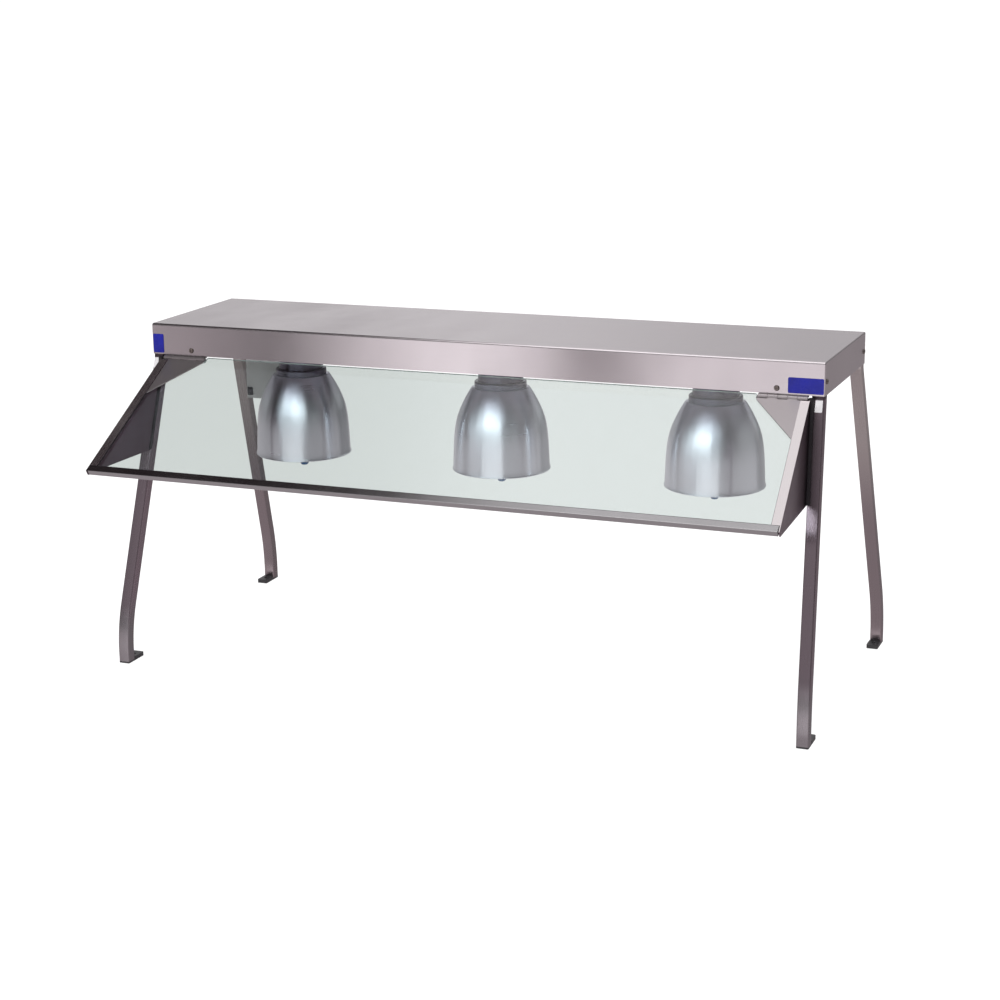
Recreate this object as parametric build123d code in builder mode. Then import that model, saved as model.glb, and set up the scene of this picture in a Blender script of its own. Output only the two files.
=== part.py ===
from build123d import *
import math
import os

# Buffet shelf with three heat lamps and a tilting sneeze guard. Millimetres.
# Origin: on the counter, at the centre of the four foot screw holes.
# X runs along the shelf, -Y is the guest's side with the guard, +Z is up.

# ---- driving dimensions ----------------------------------------------------
SHELF_L = 1200.0        # shelf length along X
SHELF_D = 290.0         # shelf depth along Y
SHELF_TOP = 585.0       # height of the plate rest above the counter
FLANGE = 54.0           # height of the four folded sides
SHEET = 1.2             # stainless sheet of the shelf
BEND_R = 4.0            # outside radius of the long folds, front and back

LEG = 20.0              # square tube
LEG_WALL = 1.5
LEG_SPLAY_X = 21.2      # how far a foot stands outside its top
FOOT_Y = 273.0          # tube centre of each foot from the middle
LEG_BEND_Z = 62.0       # where the slanted run turns upright again
LEG_TOP_BEND_Z = 523.0
FOOT_SOLE = 3.0

GUARD_ANGLE = 32.5      # slope of the glass below the horizontal
GUARD_LEN = 283.5       # from the hinge line to the lower edge
HINGE_Y, HINGE_Z = -149.8, 526.5
GLASS = 5.0

LAMP_PITCH = 384.0
RIM_Z = 336.0
COLLAR_Z = 480.3        # top plate of each shade

CHANNEL_Z = 551.0       # underside of the wiring channel
os.makedirs("parts", exist_ok=True)

INNER_X = SHELF_L / 2 - SHEET
INNER_Y = SHELF_D / 2 - SHEET
UNDER = SHELF_TOP - SHEET
FLANGE_Z = SHELF_TOP - FLANGE


def unit(v):
    return v * (1.0 / v.length)


def save(part, name):
    part.label = name
    export_step(part, f"parts/{name}.step")


# ---- shelf: one inverted tray, folded and welded at the corners -------------
BOLT_Z = 553.0
LEG_TOP_X = INNER_X - LEG / 2
LEG_TOP_Y = INNER_Y - LEG / 2
FLANGE_SCREW_X, FLANGE_SCREW_Z = 523.0, 540.0

with BuildPart() as shelf_tray:
    with BuildSketch(Plane(origin=(-SHELF_L / 2, 0, SHELF_TOP - FLANGE / 2), x_dir=(0, 1, 0), z_dir=(1, 0, 0))) as section:
        Rectangle(SHELF_D, FLANGE)
        fillet(section.vertices().sort_by(Axis.Y)[-2:], radius=BEND_R)
    extrude(amount=SHELF_L)
    for end_face in (shelf_tray.faces().sort_by(Axis.X)[0], shelf_tray.faces().sort_by(Axis.X)[-1]):
        rim = [e for e in end_face.edges() if e.center().Z > FLANGE_Z + 1.0]
        fillet(rim, radius=1.9)
    bottom = shelf_tray.faces().sort_by(Axis.Z)[0]
    offset(amount=-SHEET, openings=bottom)
    # leg bolts through the two ends
    for sx in (-1, 1):
        with BuildSketch(Plane(origin=(sx * (SHELF_L / 2 + 1), 0, 0), x_dir=(0, 1, 0), z_dir=(1, 0, 0))):
            with Locations((-LEG_TOP_Y, BOLT_Z), (LEG_TOP_Y, BOLT_Z)):
                Circle(3.1)
        extrude(amount=-sx * 3.5, mode=Mode.SUBTRACT)
    # hinge screws through the front
    with BuildSketch(Plane(origin=(0, -SHELF_D / 2 - 1, 0), x_dir=(1, 0, 0), z_dir=(0, -1, 0))):
        with Locations((-FLANGE_SCREW_X, FLANGE_SCREW_Z), (FLANGE_SCREW_X, FLANGE_SCREW_Z)):
            Circle(2.6)
    extrude(amount=-3.5, mode=Mode.SUBTRACT)
save(shelf_tray.part, "shelf_tray")

# ---- legs: square tube, bent upright at both ends ---------------------------
FOOT_X = LEG_TOP_X + LEG_SPLAY_X


def leg_points(sx, sy):
    return [
        (sx * LEG_TOP_X, sy * LEG_TOP_Y, UNDER - 3.2),
        (sx * LEG_TOP_X, sy * LEG_TOP_Y, LEG_TOP_BEND_Z),
        (sx * FOOT_X, sy * FOOT_Y, LEG_BEND_Z),
        (sx * FOOT_X, sy * FOOT_Y, FOOT_SOLE),
    ]


for name, sx, sy in (
    ("leg_front_left", -1, -1),
    ("leg_front_right", 1, -1),
    ("leg_rear_left", -1, 1),
    ("leg_rear_right", 1, 1),
):
    with BuildPart() as leg:
        with BuildLine() as run:
            FilletPolyline(*leg_points(sx, sy), radius=[40, 300])
        with BuildSketch(Plane(origin=leg_points(sx, sy)[0], x_dir=(1, 0, 0), z_dir=(0, 0, -1))):
            RectangleRounded(LEG, LEG, 2.2)
        sweep(path=run.line)
        with BuildSketch(Plane(origin=leg_points(sx, sy)[0], x_dir=(1, 0, 0), z_dir=(0, 0, -1))):
            RectangleRounded(LEG - 2 * LEG_WALL, LEG - 2 * LEG_WALL, 0.8)
        sweep(path=run.line, mode=Mode.SUBTRACT)
        # bolt hole in the outer wall
        with BuildSketch(Plane(origin=(sx * (LEG_TOP_X + LEG / 2 + 1), sy * LEG_TOP_Y, BOLT_Z), x_dir=(0, 1, 0), z_dir=(1, 0, 0))):
            Circle(3.1)
        extrude(amount=-sx * 4.0, mode=Mode.SUBTRACT)
    save(leg.part, name)

# ---- feet: moulded shoe with a plug, a sole and a screw tab ------------------
TAB_L = 30.0
TAB_T = 7.0
FOOT_HOLE_R = 2.75
FOOT_HOLE_Y = FOOT_Y - LEG / 2 - TAB_L / 2      # 248

for name, sx, sy in (
    ("foot_front_left", -1, -1),
    ("foot_front_right", 1, -1),
    ("foot_rear_left", -1, 1),
    ("foot_rear_right", 1, 1),
):
    with BuildPart() as foot:
        with BuildSketch(Plane.XY):
            with Locations((sx * FOOT_X, sy * (FOOT_Y - TAB_L / 2))):
                RectangleRounded(LEG, LEG + TAB_L, 2.0)
        extrude(amount=FOOT_SOLE)
        with BuildSketch(Plane.XY.offset(FOOT_SOLE)):
            with Locations((sx * FOOT_X, sy * FOOT_Y)):
                RectangleRounded(LEG - 2 * LEG_WALL, LEG - 2 * LEG_WALL, 0.8)
        extrude(amount=14.0)
        chamfer(foot.faces().sort_by(Axis.Z)[-1].edges(), length=0.5)
        tab_y = FOOT_Y - LEG / 2 - TAB_L / 2
        with BuildSketch(Plane.XY.offset(FOOT_SOLE)):
            with Locations((sx * FOOT_X, sy * tab_y)):
                RectangleRounded(LEG, TAB_L, 2.0)
        extrude(amount=TAB_T - FOOT_SOLE)
        with BuildSketch(Plane.XY):
            with Locations((sx * FOOT_X, sy * FOOT_HOLE_Y)):
                Circle(FOOT_HOLE_R)
        extrude(amount=TAB_T, mode=Mode.SUBTRACT)
    save(foot.part, name)

# ---- leg bolts: button heads outside, nuts inside the tubes ------------------
with BuildPart() as leg_bolts:
    for sx in (-1, 1):
        head_plane = Plane(origin=(sx * SHELF_L / 2, 0, 0), x_dir=(0, 1, 0), z_dir=(sx, 0, 0))
        for sy in (-1, 1):
            v = (sy * LEG_TOP_Y, BOLT_Z)
            spot = head_plane.origin + Vector(0, v[0], v[1])
            with BuildSketch(Plane(origin=spot, x_dir=(0, 1, 0), z_dir=(sx, 0, 0))):
                Circle(4.6)
            extrude(amount=1.9, taper=24)
            with BuildSketch(Plane(origin=spot, x_dir=(0, 1, 0), z_dir=(-sx, 0, 0))):
                Circle(3.0)
            extrude(amount=SHEET + LEG_WALL + 6.0)
            with BuildSketch(Plane(origin=spot + Vector(-sx * (SHEET + LEG_WALL), 0, 0), x_dir=(0, 1, 0), z_dir=(-sx, 0, 0))):
                RegularPolygon(5.6, 6)
            extrude(amount=4.8)
            # hexagon socket in the head
            with BuildSketch(Plane(origin=spot + Vector(sx * 1.9, 0, 0), x_dir=(0, 1, 0), z_dir=(-sx, 0, 0))):
                RegularPolygon(1.8, 6)
            extrude(amount=1.3, mode=Mode.SUBTRACT)
save(leg_bolts.part, "leg_bolts")

# ---- hinges ------------------------------------------------------------------
KN_R = 4.0
PIN_R = 1.6
HINGE_X0, HINGE_X1 = 494.0, 574.4
KN_GAP = 0.3
N_KN = 5
KN_L = (HINGE_X1 - HINGE_X0) / N_KN
FIXED_KN = (0, 2, 4)
MOVING_KN = (1, 3)
LEAF_T = 1.5


def knuckle_span(i):
    return HINGE_X0 + i * KN_L + KN_GAP / 2, HINGE_X0 + (i + 1) * KN_L - KN_GAP / 2


def yz_plane(x):
    return Plane(origin=(x, 0, 0), x_dir=(0, 1, 0), z_dir=(1, 0, 0))


for name, sx in (("hinge_leaf_left", -1), ("hinge_leaf_right", 1)):
    with BuildPart() as leaf:
        x0 = HINGE_X0 if sx > 0 else -HINGE_X1
        # upright leaf behind the folded front
        with BuildSketch(yz_plane(x0)):
            with BuildLine():
                Polyline(
                    (-INNER_Y, 557.0),
                    (-INNER_Y + LEAF_T, 557.0),
                    (-INNER_Y + LEAF_T, 528.6),
                    (-INNER_Y - 1.0, 528.6),
                    (-INNER_Y - 1.0, 530.2),
                    (-INNER_Y, 530.2),
                    close=True,
                )
            make_face()
        extrude(amount=HINGE_X1 - HINGE_X0)
        for i in FIXED_KN:
            a, b = knuckle_span(i)
            if sx < 0:
                a, b = -b, -a
            with BuildSketch(yz_plane(a)):
                with Locations((HINGE_Y, HINGE_Z)):
                    Circle(KN_R)
                with BuildLine():
                    Polyline(
                        (HINGE_Y, HINGE_Z + 2.1),
                        (HINGE_Y, HINGE_Z + 3.7),
                        (-INNER_Y - 0.5, HINGE_Z + 3.7),
                        (-INNER_Y - 0.5, HINGE_Z + 2.1),
                        close=True,
                    )
                make_face()
            extrude(amount=b - a)
        with BuildSketch(yz_plane(x0 - 1)):
            with Locations((HINGE_Y, HINGE_Z)):
                Circle(PIN_R)
        extrude(amount=HINGE_X1 - HINGE_X0 + 2, mode=Mode.SUBTRACT)
        with BuildSketch(Plane(origin=(sx * FLANGE_SCREW_X, -SHELF_D / 2, FLANGE_SCREW_Z), x_dir=(1, 0, 0), z_dir=(0, 1, 0))):
            Circle(2.6)
        extrude(amount=5, mode=Mode.SUBTRACT)
    save(leaf.part, name)

for name, sx in (("hinge_pin_left", -1), ("hinge_pin_right", 1)):
    with BuildPart() as pin:
        x0 = HINGE_X0 - 0.6 if sx > 0 else -HINGE_X1 - 0.6
        with BuildSketch(yz_plane(x0)):
            with Locations((HINGE_Y, HINGE_Z)):
                Circle(PIN_R)
        extrude(amount=HINGE_X1 - HINGE_X0 + 1.2)
        chamfer(pin.edges().filter_by(GeomType.CIRCLE), length=0.3)
    save(pin.part, name)

with BuildPart() as hinge_screws:
    for sx in (-1, 1):
        spot = Vector(sx * FLANGE_SCREW_X, -SHELF_D / 2, FLANGE_SCREW_Z)
        with BuildSketch(Plane(origin=spot, x_dir=(1, 0, 0), z_dir=(0, -1, 0))):
            Circle(4.7)
        extrude(amount=2.4, taper=24)
        with BuildSketch(Plane(origin=spot, x_dir=(1, 0, 0), z_dir=(0, 1, 0))):
            Circle(2.5)
        extrude(amount=SHEET + LEAF_T + 5.5)
        with BuildSketch(Plane(origin=spot + Vector(0, SHEET + LEAF_T, 0), x_dir=(1, 0, 0), z_dir=(0, 1, 0))):
            RegularPolygon(4.6, 6)
        extrude(amount=4.0)
        # cross recess
        with BuildSketch(Plane(origin=spot + Vector(0, -2.4, 0), x_dir=(1, 0, 0), z_dir=(0, 1, 0))):
            Rectangle(4.2, 0.9)
            Rectangle(0.9, 4.2)
        extrude(amount=1.2, mode=Mode.SUBTRACT)
save(hinge_screws.part, "hinge_screws")

# ---- guard: frame of reference on the hinge line -------------------------------
PHI = math.radians(GUARD_ANGLE)
DOWN = Vector(0, -math.cos(PHI), -math.sin(PHI))     # along the glass, away from the hinge
OUT = Vector(0, -math.sin(PHI), math.cos(PHI))       # out of the glass, up and to the front
HINGE = Vector(0, HINGE_Y, HINGE_Z)


def glass_plane(n):
    # local x = X, local y = towards the hinge
    return Plane(origin=HINGE + OUT * n, x_dir=(1, 0, 0), z_dir=OUT)


# the end panels lean outwards a little, as the legs do
PANEL_B, PANEL_C = 0.0372, 0.0403


def panel_x(p):
    return 578.8 - PANEL_B * (p.Y + 155.1) - PANEL_C * (p.Z - 525.3)


def side_x(s, n=0.0):
    return panel_x(HINGE + DOWN * s + OUT * n)


S_RAIL = 270.5
N_STRIP = (1.2, 2.4)
N_TAPE = (-0.3, 1.2)
N_GLASS = (-5.3, -0.3)
N_BACK = (-6.8, -5.3)
N_RAIL_BACK = (-8.0, -6.8)
PANEL_T = 1.5
STRIP_W = 14.5
GLASS_S0, GLASS_S1 = 6.5, 278.0
GLASS_MID_S, GLASS_NOTCH_X = -6.0, 492.0    # between the hinges the glass runs up under the shelf's front

with BuildPart() as guard_glass:
    with BuildSketch(glass_plane(N_GLASS[0])):
        with BuildLine():
            a = side_x(GLASS_S0) - 3.2
            b = side_x(GLASS_S1) - 3.2
            w = GLASS_NOTCH_X
            Polyline(
                (-a, -GLASS_S0), (-w, -GLASS_S0), (-w, -GLASS_MID_S), (w, -GLASS_MID_S), (w, -GLASS_S0),
                (a, -GLASS_S0), (b, -GLASS_S1), (-b, -GLASS_S1), close=True,
            )
        make_face()
    extrude(amount=GLASS)
    notch = [e for e in guard_glass.edges().filter_by(GeomType.LINE)
             if abs(abs(e.center().X) - w) < 0.1 and abs(e.length - GLASS) < 0.1]
    fillet([e for e in notch if e.center().Z < HINGE_Z - 2.5], radius=4.0)
    fillet([e for e in guard_glass.edges().filter_by(GeomType.LINE)
            if abs(abs(e.center().X) - w) < 0.1 and abs(e.length - GLASS) < 0.1 and e.center().Z > HINGE_Z - 2.5], radius=3.0)
save(guard_glass.part, "guard_glass")

# rubber glazing strip: a U along the lower edge and a flat tape up each side
with BuildPart() as glazing_strip:
    half = side_x(S_RAIL) - 3.5
    with BuildSketch(glass_plane(N_TAPE[0])):
        with BuildLine():
            Polyline((-half, -(S_RAIL - 1.6)), (half, -(S_RAIL - 1.6)), (half, -GLASS_S1), (-half, -GLASS_S1), close=True)
        make_face()
        for sx in (-1, 1):
            with BuildLine():
                s0, s1 = 92.0, S_RAIL - 1.0
                Polyline(
                    (sx * (side_x(s0) - 3.5), -s0),
                    (sx * (side_x(s0) - STRIP_W - 0.8), -s0),
                    (sx * (side_x(s1) - STRIP_W - 0.8), -s1),
                    (sx * (side_x(s1) - 3.5), -s1),
                    close=True,
                )
            make_face()
    extrude(amount=N_TAPE[1] - N_TAPE[0])
    with BuildSketch(glass_plane(N_BACK[0])):
        with BuildLine():
            Polyline((-half, -(S_RAIL - 1.6)), (half, -(S_RAIL - 1.6)), (half, -GLASS_S1), (-half, -GLASS_S1), close=True)
        make_face()
    extrude(amount=N_BACK[1] - N_BACK[0])
    with BuildSketch(glass_plane(N_BACK[0])):
        with BuildLine():
            Polyline((-half, -GLASS_S1), (half, -GLASS_S1), (half, -(GUARD_LEN - 1.3)), (-half, -(GUARD_LEN - 1.3)), close=True)
        make_face()
    extrude(amount=N_TAPE[1] - N_BACK[0])
save(glazing_strip.part, "glazing_strip")

# stainless U rail over the glazing strip
RAIL_HALF = side_x(S_RAIL) - PANEL_T - 1.0
with BuildPart() as guard_rail:
    with BuildSketch(glass_plane(N_RAIL_BACK[0])):
        with BuildLine():
            Polyline((-RAIL_HALF, -S_RAIL), (RAIL_HALF, -S_RAIL), (RAIL_HALF, -GUARD_LEN), (-RAIL_HALF, -GUARD_LEN), close=True)
        make_face()
    extrude(amount=N_STRIP[1] - N_RAIL_BACK[0])
    fillet(guard_rail.edges().filter_by(Axis.X).sort_by_distance(HINGE)[-2:], radius=1.2)
    with BuildSketch(glass_plane(N_BACK[0])):
        with BuildLine():
            Polyline((-RAIL_HALF - 1, -(S_RAIL - 1)), (RAIL_HALF + 1, -(S_RAIL - 1)), (RAIL_HALF + 1, -(GUARD_LEN - 1.3)), (-RAIL_HALF - 1, -(GUARD_LEN - 1.3)), close=True)
        make_face()
    extrude(amount=N_TAPE[1] - N_BACK[0], mode=Mode.SUBTRACT)
save(guard_rail.part, "guard_rail")

# ---- end panels: a three-cornered plate with a strip folded over the glass -----
def leg_front(x, z, off):
    # y of a plane parallel to the front face of the slanted leg, off mm from its middle
    run = Vector(LEG_SPLAY_X, -(FOOT_Y - LEG_TOP_Y), -(LEG_TOP_BEND_Z - LEG_BEND_Z))
    p = unit(Vector(run.X, run.Y, 0))
    b = Vector(-p.Y, p.X, 0)
    theta = math.atan2(math.hypot(run.X, run.Y), -run.Z)
    pp = p * math.cos(theta) + Vector(0, 0, 1) * math.sin(theta)
    front = pp * (-p.Y) - b * p.X
    c = Vector(LEG_TOP_X, -LEG_TOP_Y, LEG_TOP_BEND_Z)
    return c.Y + (off - front.X * (x - c.X) - front.Z * (z - c.Z)) / front.Y


def on_panel(y, z):
    return Vector(578.8 - PANEL_B * (y + 155.1) - PANEL_C * (z - 525.3), y, z)


def rear_point(z, off):
    y = -200.0
    for _ in range(6):
        y = leg_front(on_panel(y, z).X, z, off)
    return on_panel(y, z)


def guard_point(s, n):
    q = HINGE + DOWN * s + OUT * n
    return on_panel(q.Y, q.Z)


PANEL_N = unit(Vector(1, PANEL_B, PANEL_C))
PANEL_ORIGIN = on_panel(HINGE_Y, HINGE_Z)
PANEL_XD = unit(on_panel(HINGE_Y, HINGE_Z - 100) - PANEL_ORIGIN)
PANEL_PLANE = Plane(origin=PANEL_ORIGIN, x_dir=PANEL_XD, z_dir=PANEL_N)


def flat(points):
    out = []
    for q in points:
        loc = PANEL_PLANE.to_local_coords(q)
        out.append((loc.X, loc.Y))
    return out


PANEL_LOW_Z = guard_point(GUARD_LEN, N_RAIL_BACK[0]).Z
PANEL_TOP_Z = 515.0      # above this the rear edge stands upright, beside the leg
PANEL_NIB_Z = 528.0
TRIM_TOP_Z = 528.6
panel_outline = [
    guard_point(7.0, N_STRIP[1]),
    guard_point(GUARD_LEN, N_STRIP[1]),
    guard_point(GUARD_LEN, N_RAIL_BACK[0]),
    rear_point(PANEL_LOW_Z, 12.6),
    rear_point(PANEL_TOP_Z, 12.6),
    on_panel(rear_point(PANEL_TOP_Z, 12.6).Y, PANEL_NIB_Z),
    on_panel(guard_point(1.0, N_STRIP[1]).Y, PANEL_NIB_Z),
]

for name, side in (("end_panel_right", 1), ("end_panel_left", -1)):
    with BuildPart() as end_panel:
        with BuildSketch(PANEL_PLANE):
            with BuildLine():
                Polyline(*flat(panel_outline), close=True)
            make_face()
        extrude(amount=-PANEL_T)
        # strip over the edge of the glass
        with BuildSketch(glass_plane(N_STRIP[0])):
            with BuildLine():
                s0, s1 = 7.0, S_RAIL - 0.4
                Polyline(
                    (side_x(s0) - 0.75, -s0),
                    (side_x(s0) - STRIP_W, -s0),
                    (side_x(s1) - STRIP_W, -s1),
                    (side_x(s1) - 0.75, -s1),
                    close=True,
                )
            make_face()
        extrude(amount=N_STRIP[1] - N_STRIP[0])
        # inner lip behind the glass
        with BuildSketch(glass_plane(N_RAIL_BACK[0] + 0.2)):
            with BuildLine():
                s0, s1 = 26.0, S_RAIL - 3.0
                Polyline(
                    (side_x(s0) - 0.9, -s0),
                    (side_x(s0) - 12.0, -s0),
                    (side_x(s1) - 12.0, -s1),
                    (side_x(s1) - 0.9, -s1),
                    close=True,
                )
            make_face()
        extrude(amount=1.2)
        if side < 0:
            mirror(about=Plane.YZ, mode=Mode.REPLACE)
    save(end_panel.part, name)
    if side > 0:
        right_panel = end_panel.part
    else:
        left_panel = end_panel.part

# black rubber edge trim: wraps the rear edge and rests on the leg's front face
trim_outline = [
    rear_point(PANEL_LOW_Z + 1.0, 10.4),
    rear_point(PANEL_LOW_Z + 1.0, 18.5),
    rear_point(PANEL_TOP_Z, 18.5),
    on_panel(rear_point(PANEL_TOP_Z, 18.5).Y, TRIM_TOP_Z),
    on_panel(rear_point(PANEL_TOP_Z, 10.4).Y, TRIM_TOP_Z),
    rear_point(PANEL_TOP_Z, 10.4),
]
for name, side in (("edge_trim_right", 1), ("edge_trim_left", -1)):
    with BuildPart() as trim:
        with BuildSketch(PANEL_PLANE.offset(-PANEL_T - 1.2)):
            with BuildLine():
                Polyline(*flat(trim_outline), close=True)
            make_face()
        extrude(amount=PANEL_T + 1.2 + 5.0)
        add(right_panel, mode=Mode.SUBTRACT)
        if side < 0:
            mirror(about=Plane.YZ, mode=Mode.REPLACE)
    save(trim.part, name)

# ---- moving hinge leaves: three-cornered plates on the upper glass corners -------
for name, side in (("corner_leaf_right", 1), ("corner_leaf_left", -1)):
    with BuildPart() as corner:
        with BuildSketch(glass_plane(N_TAPE[0])):
            with BuildLine():
                Polyline(
                    (HINGE_X0, -5.2),
                    (side_x(5.2) - 3.5, -5.2),
                    (side_x(90.0) - 3.5, -90.0),
                    (side_x(90.0) - STRIP_W - 1.5, -90.0),
                    (HINGE_X0, -9.0),
                    close=True,
                )
            make_face()
        extrude(amount=N_TAPE[1] - N_TAPE[0])
        for i in MOVING_KN:
            a, b = knuckle_span(i)
            with BuildSketch(yz_plane(a)):
                with Locations((HINGE_Y, HINGE_Z)):
                    Circle(KN_R)
            extrude(amount=b - a)
            with BuildSketch(glass_plane(N_TAPE[0])):
                with BuildLine():
                    Polyline((a, -1.0), (b, -1.0), (b, -5.6), (a, -5.6), close=True)
                make_face()
            extrude(amount=N_TAPE[1] - N_TAPE[0])
        with BuildSketch(yz_plane(HINGE_X0 - 1)):
            with Locations((HINGE_Y, HINGE_Z)):
                Circle(PIN_R + 0.06)
        extrude(amount=HINGE_X1 - HINGE_X0 + 2, mode=Mode.SUBTRACT)
        if side < 0:
            mirror(about=Plane.YZ, mode=Mode.REPLACE)
    save(corner.part, name)

# nylon pads on the front faces of the front legs, bent with the tube
PAD_T = 1.8
PAD_X0, PAD_X1, PAD_Z0, PAD_Z1 = 585.4, 597.0, 506.5, 524.5
with BuildPart() as leg_pads:
    for sx in (-1, 1):
        with BuildLine() as run:
            FilletPolyline(*leg_points(sx, -1), radius=[40, 300])
        with BuildSketch(Plane(origin=leg_points(sx, -1)[0], x_dir=(1, 0, 0), z_dir=(0, 0, -1))):
            Rectangle(LEG + 2 * PAD_T, LEG + 2 * PAD_T)
        sweep(path=run.line)
    with BuildSketch(Plane(origin=(0, -INNER_Y + 5.0, (PAD_Z0 + PAD_Z1) / 2), x_dir=(1, 0, 0), z_dir=(0, -1, 0))):
        with Locations(((PAD_X0 + PAD_X1) / 2, 0), (-(PAD_X0 + PAD_X1) / 2, 0)):
            RectangleRounded(PAD_X1 - PAD_X0, PAD_Z1 - PAD_Z0, 1.5)
    extrude(amount=20.0, mode=Mode.INTERSECT)
    for sx in (-1, 1):
        with BuildLine() as run:
            FilletPolyline(*leg_points(sx, -1), radius=[40, 300])
        with BuildSketch(Plane(origin=leg_points(sx, -1)[0], x_dir=(1, 0, 0), z_dir=(0, 0, -1))):
            RectangleRounded(LEG, LEG, 2.2)
        sweep(path=run.line, mode=Mode.SUBTRACT)
save(leg_pads.part, "leg_pads")

# ---- wiring channel under the shelf ----------------------------------------------
CH_W, CH_L, CH_T = 100.0, 1120.0, 1.0
LAMP_X = (-LAMP_PITCH, 0.0, LAMP_PITCH)
STUD_X = (-500.0, 0.0, 500.0)
LOOM_X = -507.0
LOOM_Z = 567.0
STEM_R = 5.0

with BuildPart() as wiring_channel:
    with BuildSketch(Plane.XY.offset(CHANNEL_Z)):
        Rectangle(CH_L, CH_W)
    extrude(amount=UNDER - CHANNEL_Z)
    with BuildSketch(Plane.XY.offset(CHANNEL_Z + CH_T)):
        Rectangle(CH_L - 2 * CH_T, CH_W - 2 * CH_T)
    extrude(amount=UNDER - CHANNEL_Z, mode=Mode.SUBTRACT)
    with BuildSketch(Plane.XY.offset(UNDER - CH_T)):
        with Locations((0, CH_W / 2 + 6.5), (0, -CH_W / 2 - 6.5)):
            Rectangle(CH_L, 14.0)
    extrude(amount=CH_T)
    with BuildSketch(Plane.XY.offset(CHANNEL_Z)):
        with Locations(*[(x, 0) for x in LAMP_X]):
            Circle(STEM_R + 0.1)
    extrude(amount=CH_T, mode=Mode.SUBTRACT)
    with BuildSketch(Plane.XY.offset(UNDER - CH_T)):
        with Locations(*[(x, sy * (CH_W / 2 + 7.0)) for x in STUD_X for sy in (-1, 1)]):
            Circle(2.1)
    extrude(amount=CH_T, mode=Mode.SUBTRACT)
    with BuildSketch(Plane(origin=(LOOM_X, CH_W / 2 + 2, LOOM_Z), x_dir=(1, 0, 0), z_dir=(0, -1, 0))):
        Circle(3.2)
    extrude(amount=5.0, mode=Mode.SUBTRACT)
save(wiring_channel.part, "wiring_channel")

with BuildPart() as stud_nuts:
    with BuildSketch(Plane.XY.offset(UNDER)):
        with Locations(*[(x, sy * (CH_W / 2 + 7.0)) for x in STUD_X for sy in (-1, 1)]):
            Circle(2.0)
    extrude(amount=-8.0)
    with BuildSketch(Plane.XY.offset(UNDER - CH_T)):
        with Locations(*[(x, sy * (CH_W / 2 + 7.0)) for x in STUD_X for sy in (-1, 1)]):
            RegularPolygon(4.0, 6)
    extrude(amount=-3.2)
save(stud_nuts.part, "stud_nuts")

# ---- lamps -----------------------------------------------------------------------
SHADE_OUT = [
    (50.6, 478.6), (54.6, 472.5), (59.0, 465.0), (63.4, 456.8), (67.6, 448.2),
    (71.4, 439.5), (74.7, 430.5), (77.4, 421.0), (79.4, 410.5), (80.9, 399.0),
    (82.0, 385.0), (83.0, 365.0), (84.0, RIM_Z + 2.0),
]
SHADE_T = 1.2


def inset(points, t):
    out = []
    for i, (r, z) in enumerate(points):
        r0, z0 = points[max(i - 1, 0)]
        r1, z1 = points[min(i + 1, len(points) - 1)]
        dr, dz = r1 - r0, z1 - z0
        ln = math.hypot(dr, dz)
        out.append((r + dz / ln * t, z - dr / ln * t))
    return out


SHADE_IN = inset(SHADE_OUT, SHADE_T)
BULB_NECK = [
    (15.0, 464.0), (18.2, 455.0), (23.5, 442.0), (32.0, 424.0), (43.0, 404.0),
    (53.5, 384.0), (60.0, 366.0), (62.3, 352.0),
]
BULB_FACE = [(62.3, 352.0), (61.0, 342.5), (54.0, 334.0), (41.0, 327.0), (22.0, 322.0), (7.5, 320.4)]
BULB_IN = inset(BULB_NECK + BULB_FACE[1:-1] + [(0, 320.0)], 1.0)
BULB_NECK_IN = [(14.3, 463.0)] + BULB_IN[1:8]
BULB_FACE_IN = BULB_IN[7:-1] + [(0, 321.2)]
STEM_TOP, STEM_LOW = 563.0, 511.0
CANOPY_R = 39.0
RING_R = 45.0

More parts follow.
